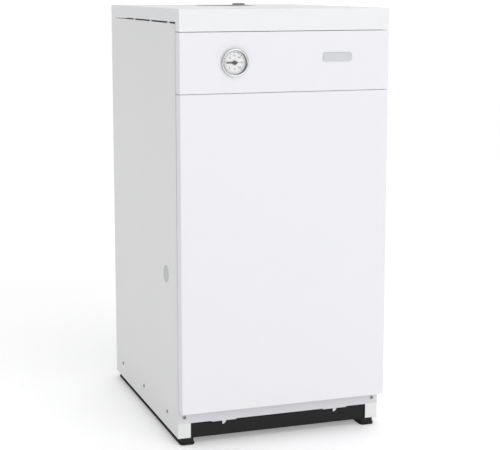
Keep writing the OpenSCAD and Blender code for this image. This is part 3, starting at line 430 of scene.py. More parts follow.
def to_mesh(name: str, bm: bmesh.types.BMesh) -> bpy.types.Mesh:
    """Returns a new mesh made from a bmesh, which is freed."""
    mesh = bpy.data.meshes.new(name)
    bm.to_mesh(mesh)
    bm.free()
    return mesh


def placed(name: str, data: bpy.types.ID) -> bpy.types.Object:
    """Returns a new object with its data, linked to the scene."""
    made = bpy.data.objects.new(name, data)
    bpy.context.scene.collection.objects.link(made)
    return made


def attach(made: bpy.types.Object, node: str, replaced: bool) -> None:
    """Ties a piece to the CAD node that it belongs to.

    Args:
        made: the piece.
        node: the CAD node whose body it rides on.
        replaced: whether it takes the node's place.
    """
    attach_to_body(made, body_of(node))
    if replaced:
        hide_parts(node)


def piece(name: str, bm: bmesh.types.BMesh, finish: Finish, node: str, crease: float = 32,
          replaced: bool = True) -> bpy.types.Object:
    """Turns a bmesh into a finished piece of a CAD node.

    Args:
        name: the piece's name.
        bm: its mesh, in metres in the row frame; it is freed here.
        finish: its finish.
        node: the CAD node whose body it rides on.
        crease: angle in degrees from which an edge stays sharp.
        replaced: whether it takes the node's place.

    Returns:
        The object.
    """
    shade(bm, crease)
    made = placed(name, to_mesh(name, bm))
    made.data.materials.append(finish.material())
    even = made.modifiers.new("even_normals", "WEIGHTED_NORMAL")
    even.keep_sharp = True
    even.weight = 80
    settle(made)
    attach(made, node, replaced)
    log.info("%s: %d faces, %s", name, len(made.data.polygons), finish.name)
    return made


def settle(made: bpy.types.Object) -> None:
    """Turns an object's modifiers into plain mesh.

    Args:
        made: the object, which keeps its name and loses its modifiers.
    """
    bpy.context.view_layer.update()
    graph = bpy.context.evaluated_depsgraph_get()
    flat = bpy.data.meshes.new_from_object(made.evaluated_get(graph), preserve_all_data_layers=True,
                                           depsgraph=graph)
    old = made.data
    made.modifiers.clear()
    made.data = flat
    flat.name = made.name
    bpy.data.meshes.remove(old)


def body_of(node: str) -> str:
    """Returns the CAD body that a node belongs to."""
    for body, nodes in frame["record"]["behaviour"]["bodies"].items():
        if node in nodes:
            return body
    raise KeyError(node)


def box(node: str) -> tuple[Vector, Vector]:
    """Returns the lowest and the highest corner of a CAD node's box, in metres."""
    lo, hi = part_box(node)
    return Vector(lo), Vector(hi)


def middle(node: str) -> Vector:
    """Returns the centre of a CAD node's box, in metres."""
    lo, hi = box(node)
    return (lo + hi) / 2


def turned(profile: Sequence[tuple[float, float]], centre: Sequence[float], axis: Axis,
           steps: int = 64) -> bmesh.types.BMesh:
    """Turns a closed profile round an axis.

    Args:
        profile: radius and distance along the axis, in millimetres, in order round the section.
        centre: a point on the axis, in metres.
        axis: the axis' direction.
        steps: number of steps round the axis.

    Returns:
        The closed shape.
    """
    bm = bmesh.new()
    rings = []
    for i in range(steps):
        a = 2 * math.pi * i / steps
        rings.append([])
        for r, h in profile:
            at = (r * math.cos(a), r * math.sin(a), h)
            rings[-1].append(bm.verts.new(Vector([at[k] * MM for k in axis.value]) + Vector(centre)))
    for a, b in zip(rings, rings[1:] + rings[:1]):
        for j in range(len(profile)):
            k = (j + 1) % len(profile)
            bm.faces.new((a[j], a[k], b[k], b[j]))
    bmesh.ops.remove_doubles(bm, verts=bm.verts, dist=1e-7)
    bmesh.ops.dissolve_degenerate(bm, dist=1e-7, edges=bm.edges)
    bmesh.ops.recalc_face_normals(bm, faces=bm.faces)
    return bm


def rounded_profile(points: Sequence[tuple[float, float]], radius: float,
                    steps: int = 3) -> list[tuple[float, float]]:
    """Rounds the corners of a closed profile, but for those on the axis.

    Args:
        points: the corners, in millimetres.
        radius: radius at each corner, made smaller where an edge is short.
        steps: points on each rounding.

    Returns:
        The new profile.
    """
    out = []
    for i, point in enumerate(points):
        p, a, b = Vector(point), Vector(points[i - 1]), Vector(points[(i + 1) % len(points)])
        if p.x < 0.001:
            out.append(tuple(p))
            continue
        u, v = a - p, b - p
        reach = min(radius, 0.45 * u.length, 0.45 * v.length)
        s, e = p + u.normalized() * reach, p + v.normalized() * reach
        for k in range(steps + 1):
            t = k / steps
            out.append(tuple(s * (1 - t) ** 2 + p * 2 * t * (1 - t) + e * t * t))
    return out


# ---------------------------------------------------------------- repeats

class Repeat:
    """Copies an item to points with Geometry Nodes, each copy facing its point's own direction."""

    _tree: bpy.types.NodeTree | None = None

    @classmethod
    def tree(cls) -> bpy.types.NodeTree:
        """Returns the node group, made on first use.

        Its inputs are the points, the item, how far each copy is turned about its own axis at
        random, the seed of those turns, and the material.
        """
        if cls._tree:
            return cls._tree
        t = node_group("repeat_item", {"Points": "Geometry", "Item": "Object", "Turn": "Float",
                                       "Seed": "Int", "Finish": "Material"}, "Copies")
        given = add(t, "NodeGroupInput")
        item = add(t, "GeometryNodeObjectInfo", None, {"Object": given.outputs["Item"]})
        facing = add(t, "GeometryNodeInputNamedAttribute", {"data_type": "FLOAT_VECTOR"},
                     {"Name": "facing"})
        aimed = add(t, "FunctionNodeAlignRotationToVector", {"axis": "Z"},
                    {"Vector": facing.outputs["Attribute"]})
        turn = add(t, "FunctionNodeRandomValue", {"data_type": "FLOAT"},
                   {2: 0.0, 3: given.outputs["Turn"], "Seed": given.outputs["Seed"]})
        about = add(t, "ShaderNodeCombineXYZ", None, {"Z": turn.outputs[1]})
        spun = add(t, "FunctionNodeEulerToRotation", None, {0: about.outputs[0]})
        both = add(t, "FunctionNodeRotateRotation", {"rotation_space": "LOCAL"},
                   {0: aimed.outputs[0], 1: spun.outputs[0]})
        copies = add(t, "GeometryNodeInstanceOnPoints", None,
                     {"Points": given.outputs["Points"], "Instance": item.outputs["Geometry"],
                      "Rotation": both.outputs[0]})
        real = add(t, "GeometryNodeRealizeInstances", None, {0: copies.outputs[0]})
        dressed = add(t, "GeometryNodeSetMaterial", None,
                      {"Geometry": real.outputs[0], "Material": given.outputs["Finish"]})
        add(t, "NodeGroupOutput", None, {0: dressed.outputs[0]})
        cls._tree = t
        return t

    @classmethod
    def make(cls, name: str, item: bmesh.types.BMesh, places: Sequence[tuple[Vector, Vector]],
             finish: Finish, node: str, slot: str | None = None, replaced: bool = False,
             turn: float = 0.0, seed: int = 1) -> None:
        """Copies an item to places and makes the copies one plain piece.

        Args:
            name: the new piece's name.
            item: the item, with its own +Z pointing outwards; it is freed here.
            places: position and outward direction of each copy, in metres.
            finish: finish of every copy.
            node: the CAD node whose body they ride on.
            slot: not used.
            replaced: whether they take the node's place.
            turn: largest random turn about each copy's axis, in radians.
            seed: seed of those turns.
        """
        shade(item, 35)
        source = placed(name + "_item", to_mesh(name + "_item", item))
        points = bpy.data.meshes.new(name)
        points.from_pydata([tuple(p) for p, _ in places], [], [])
        facing = points.attributes.new("facing", "FLOAT_VECTOR", "POINT")
        for i, (_, way) in enumerate(places):
            facing.data[i].vector = way
        made = placed(name, points)
        run_group(made, cls.tree(), {"Item": source, "Turn": turn, "Seed": seed, "Finish": finish.material()})
        made.modifiers.new("even_normals", "WEIGHTED_NORMAL").keep_sharp = True
        settle(made)
        bpy.data.objects.remove(source)
        if "facing" in made.data.attributes:
            made.data.attributes.remove(made.data.attributes["facing"])
        attach(made, node, replaced)
        log.info("%s: %d copies, %s", name, len(places), finish.name)


def cross(reach: float, share: float) -> bmesh.types.BMesh:
    """Makes a thin cross-shaped plate on its origin.

    Args:
        reach: from the middle to the end of an arm, in millimetres.
        share: width of an arm over its reach.

    Returns:
        The plate, 0.1 mm thick.
    """
    w = reach * share / 2
    bm = bmesh.new()
    outline = []
    for k in range(4):
        c, n = math.cos(k * math.pi / 2), math.sin(k * math.pi / 2)
        for x, y in ((reach * 0.9, -w), (reach, 0), (reach * 0.9, w), (w, w)):
            outline.append(bm.verts.new(((x * c - y * n) * MM, (x * n + y * c) * MM, 0)))
    top = bmesh.ops.extrude_face_region(bm, geom=[bm.faces.new(outline)])["geom"]
    bmesh.ops.translate(bm, vec=(0, 0, 0.1 * MM), verts=[v for v in top if isinstance(v, bmesh.types.BMVert)])
    bmesh.ops.recalc_face_normals(bm, faces=bm.faces)
    return bm


def pan_head(radius: float, height: float, reach: float) -> bmesh.types.BMesh:
    """Makes a pan head with a cross recess, standing on its origin.

    Args:
        radius: of the head, in millimetres.
        height: of the head, in millimetres.
        reach: half length of the cross, in millimetres.

    Returns:
        The head.
    """
    head = turned([(0, 0), (radius * 0.97, 0), (radius, height * 0.25), (radius * 0.93, height * 0.6),
                   (radius * 0.72, height * 0.88), (radius * 0.42, height), (0, height)],
                  (0, 0, 0), Axis.Z, 24)
    cutter = cross(reach * 1.04, 0.38)
    for v in cutter.verts:
        v.co.z = (height + 0.5 if v.co.z > 0.05 * MM else height - 0.8) * MM
    made = [placed(name, to_mesh(name, bm)) for name, bm in (("head", head), ("cutter", cutter))]
    carve = made[0].modifiers.new("recess", "BOOLEAN")
    carve.operation, carve.solver, carve.object = "DIFFERENCE", "EXACT", made[1]
    settle(made[0])
    out = bmesh.new()
    out.from_mesh(made[0].data)
    for o in made:
        bpy.data.objects.remove(o)
    return out


# ---------------------------------------------------------------- sub-assemblies

@dataclass
class SheetPart:
    """A folded sheet part: its bends are rolled to their radii on a copy of the CAD shape."""

    node: str
    finish: Finish
    outer: float = 1.9
    inner: float = 0.9
    least: float = 9.0

    def build(self) -> bpy.types.Object:
        """Returns the part with rolled bends."""
        bm = cad_shape(self.node)
        bevel(bm, sharp_edges(bm, True, self.least * MM, 3 * MM), self.outer * MM, 4)
        bevel(bm, sharp_edges(bm, False, self.least * MM, 2.2 * MM, 60), self.inner * MM, 3)
        return piece(self.node + "_formed", bm, self.finish, self.node)


@dataclass
class SolidPart:
    """A machined, cast or moulded part: its edges are eased on a copy of the CAD shape."""

    node: str
    finish: Finish
    ease: float = 0.4
    steps: int = 2
    least: float = 0.2

    def build(self) -> bpy.types.Object:
        """Returns the part with eased edges."""
        bm = cad_shape(self.node)
        bevel(bm, sharp_edges(bm, None, self.least * MM, self.ease * 1.2 * MM), self.ease * MM, self.steps)
        return piece(self.node + "_eased", bm, self.finish, self.node)


@dataclass
class Casing:
    """Sheet casing with its screws, plugs, badge and cap."""

    panels: tuple[tuple[str, str], ...] = (
        ("side_panel_left", "side_white"), ("side_panel_right", "side_white"), ("control_panel", "white"),
        ("front_door", "white"), ("lid", "lid_white"), ("front_rail", "rail_white"))
    zinc: tuple[str, ...] = ("back_panel", "door_crossbar", "top_crossbar")
    head_r: float = 4.0
    head_h: float = 1.8
    cross_reach: float = 2.4
    louvre_out: float = 5.0

    def build(self) -> None:
        """Builds and dresses every casing piece."""
        for node, finish in self.panels:
            SheetPart(node, getattr(Finishes, finish)).build()
        for node in self.zinc:
            SheetPart(node, Finishes.zinc_sheet, 1.2, 0.6).build()
        SheetPart("base_tray", Finishes.black, 2.2, 0.8).build()
        for node in ("skid_left", "skid_right"):
            SolidPart(node, Finishes.nylon, 1.2, 3, 0.5).build()
        SolidPart("door_studs", Finishes.zinc_plate, 0.3).build()
        SolidPart("door_clips", Finishes.clip, 0.3).build()
        self.screws()
        self.cap()
        self.badge()
        self.plugs()
        self.louvres()
        self.door_wool()

    def screws(self) -> None:
        """Builds a pan head with a cross recess at every casing screw, with a dark plate in each recess as
        painted shade.
        """
        places = []
        for lo, hi in islands("casing_screws"):
            size, mid = hi - lo, (lo + hi) / 2
            along = next(k for k in range(3) if abs(size[(k + 1) % 3] - size[(k + 2) % 3]) < 0.2 * MM)
            side = Vector((0, 0, 0))
            side[along] = 1 if along == 2 or mid[along] > 0 else -1
            at = mid.copy()
            at[along] = (hi if side[along] > 0 else lo)[along] - side[along] * self.head_h * MM
            places.append((at, side))
        Repeat.make("casing_screw_heads", pan_head(self.head_r, self.head_h, self.cross_reach), places,
                    Finishes.zinc_plate, "casing_screws", "zinc_screw", True, math.pi, 7)
        # Dark cross plate just under each head's top: painted shade in the recess
        recess = cross(self.cross_reach, 0.36)
        bmesh.ops.translate(recess, vec=(0, 0, (self.head_h - 0.75) * MM), verts=recess.verts)
        Repeat.make("casing_screw_recesses", recess, places, Finishes.recess, "casing_screws",
                    "zinc_screw", False, math.pi, 7)

    def cap(self) -> None:
        """Builds the round cap in the lid, with a bevelled rim on a stem."""
        lo, hi = box("lid_cap")
        mid, r, top = middle("lid_cap"), (hi.x - lo.x) / 2 / MM, hi.z / MM
        stem, under = r - 2.8, top - 3
        profile = [(0, under), (0, top - 9), (stem, top - 9), (stem, under), (r, under), (r, top - 1.4),
                   (r - 2.5, top), (0, top)]
        piece("lid_cap_moulded", turned(rounded_profile(profile, 0.5), (mid.x, mid.y, 0), Axis.Z, 56),
              Finishes.black_plastic, "lid_cap")

    def badge(self) -> None:
        """Builds a blank plate with a raised rim."""
        bm = cad_shape("badge")
        front = min(bm.faces, key=lambda f: f.calc_center_median().y)
        bmesh.ops.inset_region(bm, faces=[front], thickness=1.4 * MM, depth=0.0)
        bmesh.ops.translate(bm, vec=(0, 0.5 * MM, 0), verts=front.verts)
        bevel(bm, sharp_edges(bm, None, 0.2 * MM, 0.3 * MM), 0.2 * MM, 2)
        piece("badge_plate", bm, Finishes.badge, "badge")

    def plugs(self) -> None:
        """Builds the press-in plugs with a shallow dished face."""
        lo, hi = box("side_plugs")
        mid, r = middle("side_plugs"), (hi.z - lo.z) / 2 / MM
        shape = [(0, -0.5), (r - 5, -0.5), (r - 4.2, 0), (r - 0.6, 0), (r, -0.5), (r, -0.8), (r - 3, -0.8),
                 (r - 3, -7), (r - 5, -7), (r - 5, -1.6), (0, -1.6)]
        for name, side, face in (("left", -1, lo.x), ("right", 1, hi.x)):
            bm = turned([(a, b * side) for a, b in shape], (face, mid.y, mid.z), Axis.X, 56)
            piece("side_plug_" + name, bm, Finishes.grey_plastic, "side_plugs")

    def louvres(self) -> None:
        """Builds a pressed hood over each slot of the back panel."""
        back, base = box("back_panel")[1].y, box("flue_collector")[0].z + 43 * MM
        half, out, high = 62 * MM, self.louvre_out * MM, 8 * MM
        bm = bmesh.new()
        rows = []
        for k in range(9):
            t = k / 8
            x = -half + 2 * half * t
            swell = min(1.0, min(t, 1 - t) * 9) ** 0.5
            rows.append([bm.verts.new((x, high * math.sin(a), out * swell * (1 - math.cos(a)) + 0.1 * MM))
                         for a in (math.pi / 2 * j / 5 for j in range(6))][::-1])
        for a, b in zip(rows, rows[1:]):
            for j in range(5):
                bm.faces.new((a[j], b[j], b[j + 1], a[j + 1]))
        bmesh.ops.recalc_face_normals(bm, faces=bm.faces)
        bmesh.ops.solidify(bm, geom=bm.faces[:], thickness=0.7 * MM)
        bmesh.ops.recalc_face_normals(bm, faces=bm.faces)
        bmesh.ops.rotate(bm, cent=(0, 0, 0), matrix=Matrix.Rotation(math.pi, 3, "Z"), verts=bm.verts)
        places = [(Vector((s * 85 * MM, back, base + (7 + i * 12) * MM)), Vector((0, 1, 0)))
                  for i in range(6) for s in (-1, 1)]
        Repeat.make("back_louvres", bm, places, Finishes.zinc_sheet, "back_panel", "zinc_sheet")

    def door_wool(self) -> None:
        """Builds the wool board inside the door with soft edges."""
        bm = cad_shape("door_pad")
        bevel(bm, sharp_edges(bm, None, 1 * MM, 1 * MM), 3.2 * MM, 4)
        piece("door_wool_board", bm, Finishes.wool, "door_pad")


def islands(node: str) -> list[tuple[Vector, Vector]]:
    """Finds the boxes of a CAD node's separate solids.

    Args:
        node: the CAD node.

    Returns:
        Lowest and highest corner of each solid, in metres.
    """
    bm = cad_shape(node)
    left = set(bm.verts)
    found = []
    while left:
        stack, seen = [left.pop()], []
        while stack:
            v = stack.pop()
            seen.append(v.co.copy())
            for e in v.link_edges:
                w = e.other_vert(v)
                if w in left:
                    left.discard(w)
                    stack.append(w)
        found.append(tuple(Vector(map(pick, *[tuple(c) for c in seen])) for pick in (min, max)))
    bm.free()
    return found


class Dial:
    """Marks of the thermometer's scale, laid by Geometry Nodes along its arc, in degrees."""

    START = 225
    SWEEP = -270

    @staticmethod
    def tree() -> bpy.types.NodeTree:
        """Returns a group that lays flat marks at equal angles, with named sizes."""
        t = node_group("scale_marks", {"Geometry": "Geometry", "Count": "Int", "Radius": "Float",
                                       "Length": "Float", "Width": "Float", "Start": "Float",
                                       "Sweep": "Float", "Centre": "Vector", "Finish": "Material"}, "Marks")
        given = add(t, "NodeGroupInput")
        out = given.outputs
        less = add(t, "ShaderNodeMath", {"operation": "SUBTRACT"}, {0: out["Count"], 1: 1.0})
        index = add(t, "GeometryNodeInputIndex")
        share = add(t, "ShaderNodeMath", {"operation": "DIVIDE"}, {0: index.outputs[0], 1: less.outputs[0]})
        angle = add(t, "ShaderNodeMath", {"operation": "MULTIPLY_ADD"},
                    {0: share.outputs[0], 1: out["Sweep"], 2: out["Start"]})
        cos = add(t, "ShaderNodeMath", {"operation": "COSINE"}, {0: angle.outputs[0]})
        sin = add(t, "ShaderNodeMath", {"operation": "SINE"}, {0: angle.outputs[0]})
        x = add(t, "ShaderNodeMath", {"operation": "MULTIPLY"}, {0: cos.outputs[0], 1: out["Radius"]})
        z = add(t, "ShaderNodeMath", {"operation": "MULTIPLY"}, {0: sin.outputs[0], 1: out["Radius"]})
        flat = add(t, "ShaderNodeCombineXYZ", None, {"X": x.outputs[0], "Z": z.outputs[0]})
        at = add(t, "ShaderNodeVectorMath", {"operation": "ADD"}, {0: flat.outputs[0], 1: out["Centre"]})
        points = add(t, "GeometryNodePoints", None, {"Count": out["Count"]})
        spread = add(t, "GeometryNodeSetPosition", None,
                     {"Geometry": points.outputs[0], "Position": at.outputs[0]})
        size = add(t, "ShaderNodeCombineXYZ", None, {"X": out["Length"], "Y": 0.00006, "Z": out["Width"]})
        mark = add(t, "GeometryNodeMeshCube", None, {"Size": size.outputs[0]})
        back = add(t, "ShaderNodeMath", {"operation": "MULTIPLY"}, {0: angle.outputs[0], 1: -1.0})
        euler = add(t, "ShaderNodeCombineXYZ", None, {"Y": back.outputs[0]})
        turn = add(t, "FunctionNodeEulerToRotation", None, {0: euler.outputs[0]})
        copies = add(t, "GeometryNodeInstanceOnPoints", None,
                     {"Points": spread.outputs[0], "Instance": mark.outputs[0], "Rotation": turn.outputs[0]})
        real = add(t, "GeometryNodeRealizeInstances", None, {0: copies.outputs[0]})
        dressed = add(t, "GeometryNodeSetMaterial", None,
                      {"Geometry": real.outputs[0], "Material": out["Finish"]})
        add(t, "NodeGroupOutput", None, {0: dressed.outputs[0]})
        return t

    @classmethod
    def marks(cls, name: str, count: int, radius: float, length: float, width: float,
              centre: Vector) -> None:
        """Lays one set of marks over 270 degrees, from lower left to lower right.

        Args:
            name: the new piece's name.
            count: number of marks.
            radius: of their middles, in millimetres.
            length: of each mark, in millimetres.
            width: of each mark, in millimetres.
            centre: the scale's centre, in metres.
        """
        tree = bpy.data.node_groups.get("scale_marks") or cls.tree()
        made = placed(name, bpy.data.meshes.new(name))
        run_group(made, tree, {"Count": count, "Radius": radius * MM, "Length": length * MM,
                               "Width": width * MM, "Start": math.radians(cls.START),
                               "Sweep": math.radians(cls.SWEEP), "Centre": tuple(centre),
                               "Finish": Finishes.ink.material()})
        settle(made)
        attach(made, "gauge_dial", False)
        log.info("%s: %d marks", name, count)


@dataclass
class Thermometer:
    """Bourdon thermometer: bezel, glass, dial with marks and numbers, pointer, case and capillary."""

    numbers: tuple[int, ...] = (0, 20, 40, 60, 80, 100, 120)
    number_r: float = 13.2
    number_h: float = 3.6
    mark_r: float = 18.7

    def build(self) -> None:
        """Builds every thermometer piece."""
        lo, hi = box("gauge_dial")
        centre = Vector(((lo.x + hi.x) / 2, lo.y - 0.03 * MM, (lo.z + hi.z) / 2))
        self.bezel()
        SolidPart("gauge_glass", Finishes.glass, 0.25).build()
        SolidPart("gauge_case", Finishes.black_plastic, 0.3).build()
        piece("gauge_dial_plate", cad_shape("gauge_dial"), Finishes.dial, "gauge_dial")
        SolidPart("gauge_pointer", Finishes.pointer, 0.12, 1, 0.1).build()
        SolidPart("gauge_capillary", Finishes.copper, 0.1, 1).build()
        Dial.marks("dial_long_marks", 13, self.mark_r, 3.4, 0.5, centre)
        Dial.marks("dial_short_marks", 61, self.mark_r + 0.7, 1.8, 0.24, centre)
        for i, value in enumerate(self.numbers):
            a = math.radians(Dial.START + Dial.SWEEP * i / (len(self.numbers) - 1))
            self.word("dial_number_%d" % value, str(value),
                      centre + Vector((math.cos(a), 0, math.sin(a))) * self.number_r * MM, self.number_h)
        self.word("dial_unit", "°C", centre + Vector((0, 0, -12.5 * MM)), 3.4)

    def bezel(self) -> None:
        """Builds the drawn ring with a rolled lip."""
        lo, hi = box("gauge_bezel")
        mid, r, front, back = middle("gauge_bezel"), (hi.x - lo.x) / 2 / MM, lo.y / MM, hi.y / MM
        shape = [(r - 0.6, back), (r, back - 0.6), (r, front + 1.9), (r - 0.35, front + 0.95),
                 (r - 1.0, front + 0.25), (r - 1.9, front), (r - 2.7, front + 0.2), (r - 3.5, front + 0.8),
                 (r - 4.1, front + 1.6), (r - 4.1, front + 2.1), (r - 2.8, front + 2.1), (r - 2.8, back)]
        piece("gauge_bezel_ring", turned(shape, (mid.x, 0, mid.z), Axis.Y, 96), Finishes.chrome,
              "gauge_bezel", 50)

    @staticmethod
    def word(name: str, text: str, at: Vector, height: float) -> None:
        """Prints a few characters on the dial.

        Args:
            name: the new piece's name.
            text: the characters.
            at: their centre, in metres.
            height: of the characters, in millimetres.
        """
        curve = bpy.data.curves.new(name, "FONT")
        curve.body, curve.size = text, height * MM / 0.7
        curve.align_x, curve.align_y = "CENTER", "CENTER"
        curve.extrude = 0.00002
        curve.resolution_u = 3
        temp = placed(name + "_text", curve)
        bpy.context.view_layer.update()
        mesh = bpy.data.meshes.new_from_object(temp)
        bpy.data.objects.remove(temp)
        mesh.transform(Matrix.Translation(at) @ Matrix.Rotation(math.pi / 2, 4, "X"))
        mesh.name = name
        mesh.materials.clear()
        mesh.materials.append(Finishes.ink.material())
        attach(placed(name, mesh), "gauge_dial", False)


@dataclass
class BoilerBody:
    """Welded body, its jacket, stand, pipes and flue parts."""

    eased: tuple[tuple[str, str, float], ...] = (
        ("heat_exchanger", "primer", 0.8), ("body_stand", "iron", 0.8), ("turbulators", "stainless", 0.15),
        ("sensor_pocket", "brass", 0.4), ("drain_cock", "brass", 0.5), ("drain_lever", "red", 0.6),
        ("flue_collector", "alu_sheet", 0.3), ("draught_hood", "alu_sheet", 0.3),
        ("spill_thermostat", "black_plastic", 0.3))
    pitch: float = 2.31
    depth: float = 1.3

    def build(self) -> None:
        """Builds every piece of the body."""
        for node, finish, ease in self.eased:
            SolidPart(node, getattr(Finishes, finish), ease).build()
        for node in ("flow_nipple", "return_nipple"):
            self.threaded(node)
        self.collar()
        self.jacket()

    def threaded(self, node: str) -> None:
        """Cuts a real thread into the free end of a heating pipe.

        Args:
            node: the pipe's CAD node.
        """
        SolidPart(node, Finishes.turned, 0.5).build()
        thread_ring(node, middle(node), box("side_panel_left")[1].y + 13 * MM, 16.62 * MM, self.pitch,
                    self.depth)

    def collar(self) -> None:
        """Builds the flue collar with a rolled rim and a flange."""
        lo, hi = box("flue_collar")
        mid, flange, low, high = middle("flue_collar"), (hi.x - lo.x) / 2 / MM, lo.z / MM, hi.z / MM
        inner, sheet = 65, 1.2
        outer = inner + sheet
        shape = [(inner, low), (flange, low), (flange, low + sheet), (outer + 1.2, low + sheet),
                 (outer, low + sheet + 1.2), (outer, high - 0.5), (inner + sheet * 0.7, high),
                 (inner + sheet * 0.3, high), (inner, high - 0.5)]
        piece("flue_collar_formed", turned(shape, (mid.x, mid.y, 0), Axis.Z, 96), Finishes.alu_sheet,
              "flue_collar")

    def jacket(self) -> None:
        """Builds the foil-faced jacket with soft edges and retaining washers."""
        bm = cad_shape("insulation_jacket")
        bevel(bm, sharp_edges(bm, True, 15 * MM, 12 * MM), 7 * MM, 4)
        piece("wool_jacket", bm, Finishes.foil, "insulation_jacket", 50)
        lo, hi = box("insulation_jacket")
        places = [(Vector((x, lo.y, hi.z - drop * MM)), Vector((0, -1, 0)))
                  for drop in (40, 130, 220) for x in (-0.13, -0.02, 0.13)]
        washer = turned([(1.2, 0.8), (3, 0.5), (12, 0.2), (12, 0.6), (3, 1.0), (1.2, 1.6), (0, 1.8),
                         (0, 0.8)], (0, 0, 0), Axis.Z, 20)
        Repeat.make("jacket_washers", washer, places, Finishes.zinc_plate, "insulation_jacket",
                    "zinc_screw", False, math.pi, 3)


def thread_ring(node: str, centre: Vector, start: float, radius: float, pitch: float,
                depth: float) -> None:
    """Adds a screw thread along Y, up to a pipe's rear end, as a closed sleeve with a helical outside.

    Args:
        node: the pipe's CAD node.
        centre: a point on its axis, in metres.
        start: y where the thread starts, in metres.
        radius: of its crests, in metres.
        pitch: in millimetres.
        depth: of the grooves, in millimetres.
    """
    around, per_turn = 48, 8
    end = box(node)[1].y - 0.4 * MM
    rows = max(4, int((end - start) / (pitch * MM) * per_turn))
    root, inner = radius - depth * MM, radius - (depth + 1.2) * MM
    bm = bmesh.new()

    def ring(y: float, radii: Sequence[float]) -> list[bmesh.types.BMVert]:
        """Returns a ring of corners at y, with a radius for each step round it."""
        turns = [2 * math.pi * k / around for k in range(around)]
        return [bm.verts.new((centre.x + r * math.cos(a), y, centre.z + r * math.sin(a)))
                for a, r in zip(turns, radii)]

    grid = [ring(start, [root] * around)]
    for i in range(1, rows):
        y = start + (end - start) * i / rows
        turn = (y - start) / (pitch * MM)
        grid.append(ring(y, [radius - depth * MM * (1 - abs(2 * ((turn - k / around) % 1.0) - 1))
                             for k in range(around)]))
    grid += [ring(end, [root] * around), ring(end, [inner] * around), ring(start, [inner] * around)]
    for a, b in zip(grid, grid[1:] + grid[:1]):
        for k in range(around):
            n = (k + 1) % around
            bm.faces.new((a[k], a[n], b[n], b[k]))
    bmesh.ops.recalc_face_normals(bm, faces=bm.faces)
    piece(node + "_thread", bm, Finishes.turned, node, 70, False)


@dataclass
class BurnerAssembly:
    """Front plate, bars, manifold, pilot parts and the gas train."""

    eased: tuple[tuple[str, str, float], ...] = (
        ("burner_plate", "alu_sheet", 0.4), ("plate_gasket", "rope", 0.6), ("plate_nuts", "zinc_plate", 0.5),
        ("sight_glass", "mica", 0.2), ("sight_flap", "zinc_sheet", 0.25), ("burner_frame", "zinc_sheet", 0.3),
        ("burner_bar_1", "burner", 0.25), ("burner_bar_2", "burner", 0.25), ("burner_bar_3", "burner", 0.25),
        ("gas_manifold", "iron", 0.4), ("injectors", "brass", 0.4), ("pilot_burner", "stainless", 0.3),
        ("pilot_tube", "aluminium", 0.2), ("thermocouple", "copper", 0.2), ("ignition_lead", "silicone", 0.2),
        ("gas_valve", "die_cast", 1.4), ("valve_spindle", "turned", 0.3),
        ("piezo_igniter", "black_plastic", 0.4),
        ("piezo_button", "red", 0.6), ("gas_pipe", "turned", 0.4), ("union_nut", "brass", 0.8))
    knob_ribs: int = 18

    def build(self) -> None:
        """Builds every piece of the burner assembly."""
        for node, finish, ease in self.eased:
            SolidPart(node, getattr(Finishes, finish), ease).build()
        self.knob()
        self.valve_screws()
        self.gas_thread()

    def knob(self) -> None:
        """Builds the valve knob with grip ribs round its skirt."""
        SolidPart("valve_knob", Finishes.knob, 0.8, 3).build()
        lo, hi = box("valve_knob")
        mid = middle("valve_knob")
        r = (hi.x - lo.x) / 2 - 2.5 * MM
        rib = bmesh.new()
        bmesh.ops.create_cube(rib, size=1.0)
        bmesh.ops.scale(rib, vec=(1.6 * MM, 9 * MM, 1.2 * MM), verts=rib.verts)
        bmesh.ops.translate(rib, vec=(0, 0, 0.3 * MM), verts=rib.verts)
        bmesh.ops.bevel(rib, geom=rib.edges[:], offset=0.4 * MM, segments=2, affect="EDGES")
        y = hi.y - 9.5 * MM
        places = []
        for i in range(self.knob_ribs):
            a = 2 * math.pi * i / self.knob_ribs
            out = Vector((math.cos(a), 0, math.sin(a)))
            places.append((Vector((mid.x, y, mid.z)) + out * r, out))
        Repeat.make("knob_ribs", rib, places, Finishes.knob, "valve_knob")

    def valve_screws(self) -> None:
        """Builds three cover screws on the gas valve; its test points stand in the fourth corner."""
        lo, hi = box("gas_valve")
        left, right, low, high = lo.x + 7 * MM, hi.x - 7 * MM, lo.z + 14 * MM, hi.z - 14 * MM
        places = [(Vector((x, lo.y + sunk * MM, z)), Vector((0, -1, 0)))
                  for x, z, sunk in ((right, low, 4.05), (right, high, 4.05), (left, high, 4.0))]
        Repeat.make("valve_cover_screws", pan_head(3.2, 1.8, 1.7), places, Finishes.zinc_plate,
                    "gas_valve", "zinc_screw", False, math.pi, 11)

    def gas_thread(self) -> None:
        """Cuts the thread on the gas pipe's free end."""
        hi, mid = box("gas_pipe")[1], middle("gas_pipe")
        radius = 10.5 * MM
        mid.x = hi.x - radius - 0.18 * MM
        thread_ring("gas_pipe", mid, hi.y - 19.5 * MM, radius + 0.02 * MM, 1.81, 1.0)


# ---------------------------------------------------------------- studio

